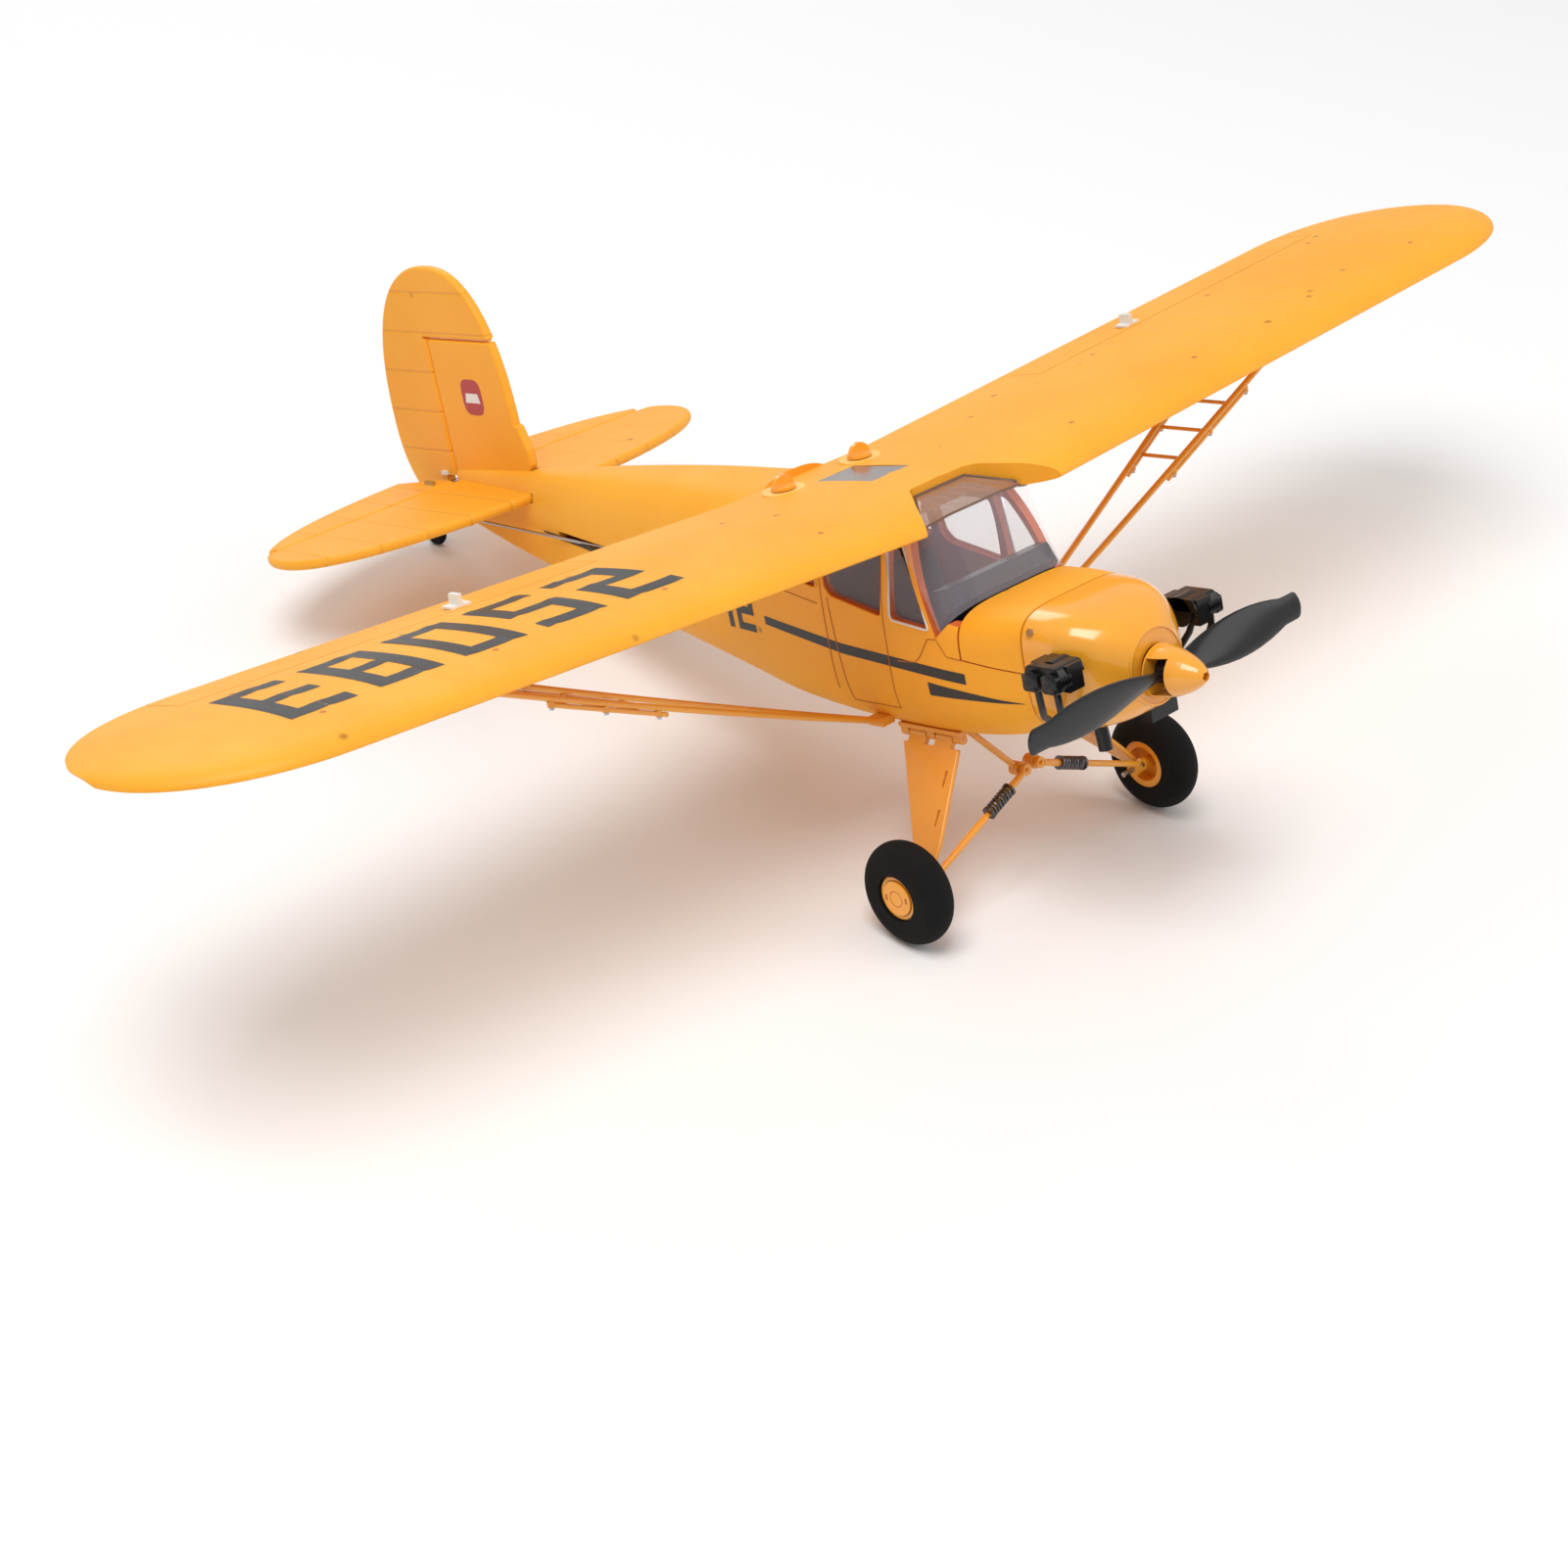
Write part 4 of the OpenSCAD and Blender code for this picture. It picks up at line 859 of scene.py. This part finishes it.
def plate(keep, centre, half, place, round_to=1.6):
    """Plate with rounded edges over a region of the plane."""
    levels = edge_levels(half, round_to)
    loops = []
    for d, h in [(d, -h) for d, h in levels[::-1]] + levels[1:]:
        loops.append([place(p, h) for p in outline_of(keep, centre, d)])
    return loft(loops)


def plump(outline, half, place, round_to=1.6):
    """Plate with rounded edges: rings of the outline step inwards while the surface rises."""
    pts = [Vector(p) for p in outline]
    n = len(pts)
    area = sum(pts[i].x * pts[(i + 1) % n].y - pts[(i + 1) % n].x * pts[i].y for i in range(n))
    normals = []
    for i in range(n):
        d = (pts[(i + 1) % n] - pts[i - 1])
        d = d.normalized() if d.length > 1e-9 else Vector((1, 0))
        normals.append(Vector((-d.y, d.x)) * (1 if area > 0 else -1))
    levels = edge_levels(half, round_to)
    rings = [(d, -h) for d, h in levels[::-1]] + levels[1:]
    return loft([[place(pts[i] + normals[i] * d, h) for i in range(n)] for d, h in rings])


def in_tail(y, z, d):
    return in_oval(y, z, (308, 12), (40, 46), (45, 67), 2.3, d)


def in_stab(x, y, d):
    return in_oval(x, y, (0, 299), (105, 105), (43, 43), 2.2, d)


def upright(p, h):
    return (h, p.x, p.y)


def level(p, h):
    return (p.x, p.y, STAB_Z + h)


TAIL = surface_material("foam_tail", ORANGE, ORANGE_DARK, 0.46, rib=("Z", 17.0, 0.5), **FOAM_RELIEF)
STAB = surface_material("foam_stab", ORANGE, ORANGE_DARK, 0.46, rib=("X", 19.0, 0.5), **FOAM_RELIEF)


def in_fin(y, z, d):
    if not (z > -9 and y < FIN_END - d and z < FIN_TOP - d):
        return False
    root = 262.2 + 0.38 * max(0.0, z - 4) + 0.5 * max(0.0, -2 - z)
    return in_tail(y, z, d) if z > 14 else y > root + d


finish(make("fin_skin", *plate(in_fin, (295, 20), SURFACE, upright, 1.2)), "airframe", FOAM, ["fin"])

# The rudder is all that lies aft of its hinge, and the cap that reaches forward over the fin
rudder = joined("rudder_skin", [
    plate(lambda y, z, d: in_tail(y, z, d) and (y > RUDDER_Y or z > FIN_TOP + 0.4 + d), (330, 60), SURFACE,
          upright, 1.2),
    tube([(0, RUDDER_Y, -32.6), (0, RUDDER_Y, FIN_TOP)], SURFACE, 32)])
boolean(rudder, [box_part((-6, 322, -9.8), (6, 325.6, -8.2)), box_part((-6, 315, -16.4), (6, 323.8, -10)),
                 box_part((-6, 322.5, -22.4), (6, 328.5, -20.8))], overlapping=True)
finish(rudder, "rudder", TAIL, ["rudder"])

stab = make("stabilizer_skin",
            *plate(lambda x, y, d: in_stab(x, y, d) and y < STAB_END - d, (0, 290), SURFACE, level))
finish(stab, "airframe", STAB, ["stabilizer"])
elevator = joined("elevator_skin", [
    plate(lambda x, y, d: in_stab(x, y, d) and y > ELEVATOR_Y, (0, 326), SURFACE, level, 1.0),
    tube([(-95, ELEVATOR_Y, STAB_Z), (95, ELEVATOR_Y, STAB_Z)], SURFACE, 24)])
wedge = [(-5, 300), (-6.5, 322), (-20, 350), (20, 350), (6.5, 322), (5, 300)]
boolean(elevator, [prism_z(wedge, -60, 40), box_part((-13.2, 319, -40), (-11.6, 325, 0))], overlapping=True)
finish(elevator, "elevator", STAB, ["elevator"])

# Generic badge on the fin: a red rounded field with a plain white bar
field, bar = [], []
for s in (1, -1):
    field.append(([(s * 2.05, 292.5 + 6.8 * soft(c, 3.5), 25 + 7.6 * soft(d, 3.5)) for c, d in circle],
                  [list(range(48))]))
    bar.append(([(s * 2.1, y, z) for y, z in ((287.5, 22.6), (297.5, 22.6), (296.5, 26.6), (288.5, 26.6))],
                [[0, 1, 2, 3]]))
finish(joined("tail_badge", field), "airframe", RED)
finish(joined("tail_badge_bar", bar), "airframe", WHITE)

# ---- nose ----
COWL_SEAM = -30.4
VENT_X, VENT_Y = 10.4, -63.4
HUB_Y = -68.5
PROP_RADIUS, PROP_PITCH = 68, 62
SQUARE_FROM = 65
ENGINE_Z = -42


def cowl_point(q, k, t):
    s = skin(-30, q if q < 180 else 360 - q, t)
    a = (s[0] if q < 180 else -s[0], s[2])
    r = math.radians(q)
    b = ((12.5 - t * 0.3) * math.sin(r), THRUST_Z + 1.5 + (13 - t * 0.3) * math.cos(r))
    m = k ** 2.6 * 0.86 + 0.14 * k
    return (a[0] + (b[0] - a[0]) * m, COWL_SEAM - (33.2 - (2 if t > 0 else 0)) * k ** 0.85, a[1]
            + (b[1] - a[1]) * m)


ks = [math.sin(math.pi / 2 * i / 26) for i in range(27)]
slices = [[cowl_point(2.5 * j, k, 0) for k in ks] + [cowl_point(2.5 * j, k, 1.6) for k in ks[::-1]]
          for j in range(144)]
face = turned([(7.5, -0.9), (13.6, -0.9), (13.6, 0.7), (7.5, 0.7), (7.5, -0.9)],
              (0, COWL_SEAM - 31.9, THRUST_Z + 1.2), (0, 1, 0), 64)
cowl = joined("cowl_skin", [loft(slices, ring=True), face])
finish(cowl, "airframe", PLASTIC, ["cowl"])
finish(joined("cowl_vents",
              [turned([(0.01, 0), (2.1, 0)], (x, VENT_Y, THRUST_Z - 3), (0, 1, 0), 32)
               for x in (-VENT_X, VENT_X)]),
       "airframe", BLACK)


def blade_chord(r):
    u = min(1.0, r / PROP_RADIUS) ** 1.15
    return max(9.5 if r > 50 else 2.0, 15.5 * max(0.02, math.sin(math.radians(180 * u * 0.93 + 6))) ** 0.75)


def blade(r, n=24):
    c, a = blade_chord(r), math.atan(PROP_PITCH / (2 * math.pi * r))
    h = 0.5 + 1.2 * (1 - r / PROP_RADIUS)
    if r > SQUARE_FROM:
        c *= max(0.1, 1 - ((r - SQUARE_FROM) / 3.05) ** 3) ** (1 / 3)
    out = []
    for i in range(n):
        q = 2 * math.pi * i / n
        u, v = c / 2 * math.cos(q), h * math.sin(q)
        out.append((r, u * math.sin(a) + v * math.cos(a), u * math.cos(a) - v * math.sin(a)))
    return out


stations_r = [3.4, 5, 8, 12, 16, 20, 26, 32, 38, 44, 50, 55, 59, 62, 64, 65.5, 66.6, 67.4, 67.9, 68]
flat_blade = loft([blade(r) for r in stations_r])
left_blade = ([(x, y + HUB_Y, z + THRUST_Z) for x, y, z in flat_blade[0]], flat_blade[1])
right_blade = ([(-x, y, 2 * THRUST_Z - z) for x, y, z in left_blade[0]], left_blade[1])
boss = turned([(1.05, -2.5), (4.5, -2.5), (4.5, 2.5), (1.05, 2.5), (1.05, -2.5)], (0, HUB_Y, THRUST_Z),
              (0, 1, 0), 48)
finish(joined("propeller_blades", [left_blade, right_blade, boss]), "propeller", BLACK,
       ["propeller"])


def engine_side():
    """Dummy engine cheek: two finned cylinders with valve covers, exhaust pipes and pushrod tubes."""
    parts = []
    z = ENGINE_Z
    parts.append(tube([(28, -50, z), (35.7, -50, z)], 5.4, 32))
    for y in (-54.4, -45.8):
        profile = [(0.02, 0)]
        for k in range(5):
            a = 1.1 * k
            profile += [(2.9, a), (4.1, a + 0.15), (4.1, a + 0.55), (2.9, a + 0.7)]
        profile += [(2.9, 5.6), (3.4, 5.8), (3.4, 7.0), (2.4, 7.6), (0.02, 7.7)]
        parts.append(turned(profile, (34.7, y, z), (1, 0, 0), 40))
        parts.append(tube([(30, y, z - 3.6), (40, y, z - 3.2)], 0.7, 10))
        parts.append(tube([(38.6, y, z - 3), (38.4, y, z - 7.5), (37.2, y + 1, z - 11),
                           (34.5, y + 3.4, z - 15.5), (30.6, y + 5, z - 18.5)], 1.25, 14))
        cover = rounded([(y - 3.5, z - 3.6), (y + 3.5, z - 3.6), (y + 3.5, z + 2.6), (y - 3.5, z + 2.6)], 1.3)
        parts.append(prism_x(cover, 39.2, 41.6))
        parts.append(prism_x([(y + 2.5 * a, z - 0.5 + 2.2 * b)
                              for a, b in ((-1, -1), (1, -1), (1, 1), (-1, 1))], 41, 42.2))
    parts.append(box_part((29, -58, z - 4.6), (36, -42, z + 4.6)))
    roof = rounded([(-58.3, z + 0.5), (-57, z + 4.9), (-43, z + 4.9), (-41.7, z + 0.5)], 1.6)
    parts.append(prism_x(roof, 28, 39.6))
    return parts


half_engine = engine_side()
under_parts = [tube([(-9, -41, -66), (-9, -42.2, -74.5), (-9, -42.6, -79)], 2.5, 24),
               box_part((-0.6, -58, -70.6), (12.6, -46.4, -63.6))]
engine = joined("dummy_engine", twice(half_engine) + under_parts)
finish(engine, "airframe", BLACK, ["engine_trim"])

# ---- landing gear ----
PIV = (22.5, -78.2)
FOOT = (54.5, -116.0)
MAIN_Y, MAIN_Z = 7.5, -118.0
AXLE_END, MARK_X = 69.4, 70.34
leg_len = math.hypot(FOOT[0] - PIV[0], FOOT[1] - PIV[1])
leg_dir = ((FOOT[0] - PIV[0]) / leg_len, (FOOT[1] - PIV[1]) / leg_len)
leg_out = [(0, 16), (3, 12.5), (leg_len - 12, 5.8), (leg_len, 5.8), (leg_len, 12), (leg_len - 2, 14), (3, 41),
           (0, 39)]


def leg_place(p, h):
    return (PIV[0] + leg_dir[0] * p.x - leg_dir[1] * h, p.y, PIV[1] + leg_dir[1] * p.x + leg_dir[0] * h)


def leg_slots():
    out = []
    for u in (12, 26):
        y = 12.5 - 6.7 * (u - 3) / (leg_len - 15) + 3.0
        ring = rounded([(u, y), (u + 6, y - 0.6), (u + 6, y + 0.4), (u, y + 1.0)], 0.4)
        out.append(loft([[leg_place(Vector(p), h) for p in ring] for h in (-3, 3)]))
    return out


leg_plate = plump(rounded(leg_out, 2.5), 0.95, leg_place, 0.8)
leg_extra = [tube([(PIV[0], y - 4, PIV[1]), (PIV[0], y + 4, PIV[1])], 1.8, 28) for y in (20.5, 33.5)]
leg_extra += [tube([(52.3, MAIN_Y, MAIN_Z), (57.1, MAIN_Y, MAIN_Z)], 2.4, 28)]
lug_cuts = [box_part((PIV[0] - 5, y - 2.3, PIV[1] - 3.4), (PIV[0] + 3.4, y + 2.3, PIV[1] + 4.6))
            for y in (14, 27, 40)]
for side, name in ((1, "left"), (-1, "right")):
    flip = (lambda p: p) if side > 0 else mirrored
    leg = make("leg_plate_" + name, *flip(leg_plate))
    boolean(leg, [flip(p) for p in leg_slots() + lug_cuts])
    finish(leg, "airframe", BRACE)
    fit = joined("leg_fittings_" + name, [flip(p) for p in leg_extra])
    finish(fit, "airframe", BRACE, ["leg_" + name])
    axle = joined("axle_" + name, [flip(p) for p in (
        tube([(47, MAIN_Y, MAIN_Z), (AXLE_END, MAIN_Y, MAIN_Z)], 0.98, 20),
        tube([(52.6, 2, -115.6), (52.6, 8, -115.6)], 0.6, 12))])
    finish(axle, "airframe", STEEL)
    a = Vector((3.6, 4, -95.5))
    b = Vector((53.3, 4, -115.6))
    d = (b - a).normalized()
    full = (b - a).length
    upper = joined("shock_body_" + name, [flip(p) for p in (
        turned([(0.75, -0.8), (2.1, -0.8), (2.1, 0.8), (0.75, 0.8), (0.75, -0.8)], a, (0, 1, 0), 28),
        tube([a + d * 1.8, a + d * 10, a + d * 22.6], [1.2, 1.4, 1.4], 20))])
    finish(upper, "airframe", BRACE, ["shock_upper_" + name])
    e1, e2 = frame_of(d)[1:]
    coil = [a + d * (10.5 + 11.5 * k / 160)
            + (e1 * math.cos(k * 2 * math.pi / 20) + e2 * math.sin(k * 2 * math.pi / 20)) * 2.05
            for k in range(161)]
    spring = joined("shock_spring_" + name, [flip(p) for p in (
        tube(coil, 0.5, 8), tube([a + d * 9.8, a + d * 10.6], 2.6, 24),
        tube([a + d * 21.8, a + d * 22.6], 2.6, 24))])
    finish(spring, "airframe", DARK_STEEL)
    lower = joined("shock_rod_" + name, [flip(p) for p in (
        tube([a + d * 23, a + d * 24.5, a + d * 30, a + d * (full - 3), a + d * (full - 1.6)],
             [0.9, 1.4, 1.5, 1.4, 1.2], 20, 0.8),
        turned([(0.95, -0.8), (2.1, -0.8), (2.1, 0.8), (0.95, 0.8), (0.95, -0.8)], b, (0, 1, 0), 28))])
    finish(lower, "airframe", BRACE, ["shock_lower_" + name])
    # plain disc over the hub's outer face, with a ring and two slots
    disc = turned([(0.02, 69.6), (6.5, 69.6), (6.5, 70.05), (6.2, 70.3), (0.02, 70.3)], (0, MAIN_Y, MAIN_Z),
                  (1, 0, 0), 64)
    finish(joined("hub_disc_" + name, [flip(disc)]), "wheel_" + name, PLASTIC)
    marks = [turned([(2.7, 0), (3.0, 0)], (MARK_X, MAIN_Y, MAIN_Z), (1, 0, 0), 48)]
    for s in (-1, 1):
        ring = rounded([(MAIN_Y + s * 4.8 + a, MAIN_Z + b)
                        for a, b in ((-0.5, -1.1), (0.5, -1.1), (0.5, 1.1), (-0.5, 1.1))], 0.5)
        marks.append(([(MARK_X, y, z) for y, z in ring], [list(range(len(ring)))]))
    finish(joined("hub_marks_" + name, [flip(p) for p in marks]), "wheel_" + name, GROOVE)

# ---- lift struts ----
STRUT_FOOT = Vector((29.8, 45, -72.8))


def wing_end(x, y):
    return Vector((x, y, under_z(x, y) - 1.95))


def strut_at(k, end, shift):
    start = STRUT_FOOT + Vector((0, shift, 0))
    bow = Vector((0, 0, -1.2 * 4 * k * (1 - k)))
    return start.lerp(end, k) + bow


strut_parts, jury_parts, screws = [], [], []
ends_of = [(wing_end(208, 33), 0.0), (wing_end(206, 66), 3.0)]
for end, shift in ends_of:
    strut_parts.append(tube([strut_at(k / 24, end, shift) for k in range(25)], 1.45, 16, 0.75, (0, 1, 0)))
    strut_parts.append(tube([end - Vector((3, 0, 0.17)), end + Vector((3, 0, 0.17))], 1.7, 24))
    strut_parts.append(tube([end - Vector((9, 0, 2.0)), end - Vector((3, 0, 0.5))], [0.9, 1.5], 16))
    lift = Vector((0, 0, -2.3))
    jury_parts.append(tube([strut_at(0.54, end, shift) + lift, strut_at(0.8, end, shift) + lift], 0.85, 12))
    for k in (0.56, 0.68, 0.8):
        p = strut_at(k, end, shift)
        jury_parts.append(tube([p + lift * 1.3, p + lift * 0.35], 1.2, 14))
        screws.append(tube([p + Vector((0, 0, -4.0)), p + Vector((0, 0, -3.2))], 0.8, 12))
front_end, rear_end = ends_of
for k in (0.6, 0.68, 0.76):
    jury_parts.append(tube([strut_at(k, *front_end) + lift, strut_at(k, *rear_end) + lift], 0.75, 12))
strut_parts.append(box_part((25.5, 42.8, -74.2), (31.5, 50.2, -71.2)))
finish(joined("lift_strut_bars", twice(strut_parts)), "airframe", BRACE, ["lift_struts"])
finish(joined("jury_strut_bars", twice(jury_parts)), "airframe", BRACE, ["jury_frames"])
finish(joined("jury_screws", twice(screws)), "airframe", STEEL)

# ---- finishes of the CAD nodes that stay ----
KEPT = {
    PALE: ["lock_plates"],
    PLASTIC: ["spinner", "lock_knob_left", "lock_knob_right", "hub_left", "hub_right"],
    BRACE: ["gear_cabane"],
    SMOKED: ["skylight"],
    BLACK: ["dash_panel", "aileron_servos", "tail_servos", "wing_spar", "motor_mount"],
    GREY: ["seats"],
    RUBBER: ["tyre_left", "tyre_right", "tail_wheel"],
    WHITE: ["aileron_horn_left", "aileron_horn_right", "aileron_arm_left", "aileron_arm_right",
            "elevator_arm",
            "rudder_arm", "rudder_horn"],
    STEEL: ["aileron_rod_left", "aileron_rod_right", "elevator_rod", "rudder_rod", "tail_fork", "cowl_screws",
            "elevator_joiner"],
    ALU: ["motor_bell", "prop_nut"],
    COPPER: ["motor_stator"],
    WRAP: ["battery"],
    STRAP: ["battery_strap"],
    BOARD: ["electronics"],
}
for material, names in KEPT.items():
    for name in names:
        data = nodes[name].data
        data.materials.clear()
        data.materials.append(material)


# ---- stage, light, camera ----
def plane(name, size, material):
    bm = bmesh.new()
    bmesh.ops.create_grid(bm, x_segments=1, y_segments=1, size=size)
    mesh = bpy.data.meshes.new(name)
    bm.to_mesh(mesh)
    bm.free()
    obj = bpy.data.objects.new(name, mesh)
    bpy.context.scene.collection.objects.link(obj)
    mesh.materials.append(material)
    return obj


paper = bpy.data.materials.new("paper_sweep")
paper.use_nodes = True
paper.node_tree.nodes["Principled BSDF"].inputs["Base Color"].default_value = (0.86, 0.86, 0.86, 1)
paper.node_tree.nodes["Principled BSDF"].inputs["Roughness"].default_value = 0.9
plane("floor", 6.0, paper)

world = bpy.data.worlds.new("studio")
bpy.context.scene.world = world
world.use_nodes = True
world.node_tree.nodes["Background"].inputs["Color"].default_value = (1, 1, 1, 1)
world.node_tree.nodes["Background"].inputs["Strength"].default_value = 0.56


def area_light(name, place, size, power):
    data = bpy.data.lights.new(name, "AREA")
    data.shape, data.size, data.energy = "SQUARE", size, power
    obj = bpy.data.objects.new(name, data)
    bpy.context.scene.collection.objects.link(obj)
    obj.location = place
    obj.rotation_euler = (Vector((0, 0, 0.07)) - Vector(place)).to_track_quat("-Z", "Y").to_euler()
    return obj


area_light("key", (-0.7, -0.35, 2.0), 1.1, 27)
area_light("fill", (1.5, -1.4, 1.2), 1.4, 10)
area_light("rim", (0.6, 1.7, 1.3), 1.0, 9)

camera_data = bpy.data.cameras.new("camera")
camera_data.lens = 71.05
camera_data.sensor_width = 36.0
camera_data.clip_start = 0.01
camera = bpy.data.objects.new("camera", camera_data)
bpy.context.scene.collection.objects.link(camera)
camera.location = (-0.6999, -0.7644, 0.6133)
look = Vector((0.5815, 0.6179, -0.5292)).to_track_quat("-Z", "Y")
camera.rotation_euler = (look.to_matrix() @ Matrix.Rotation(math.radians(-0.17), 3, "Z")).to_euler()
bpy.context.scene.camera = camera
bpy.context.scene.view_settings.view_transform = "Standard"
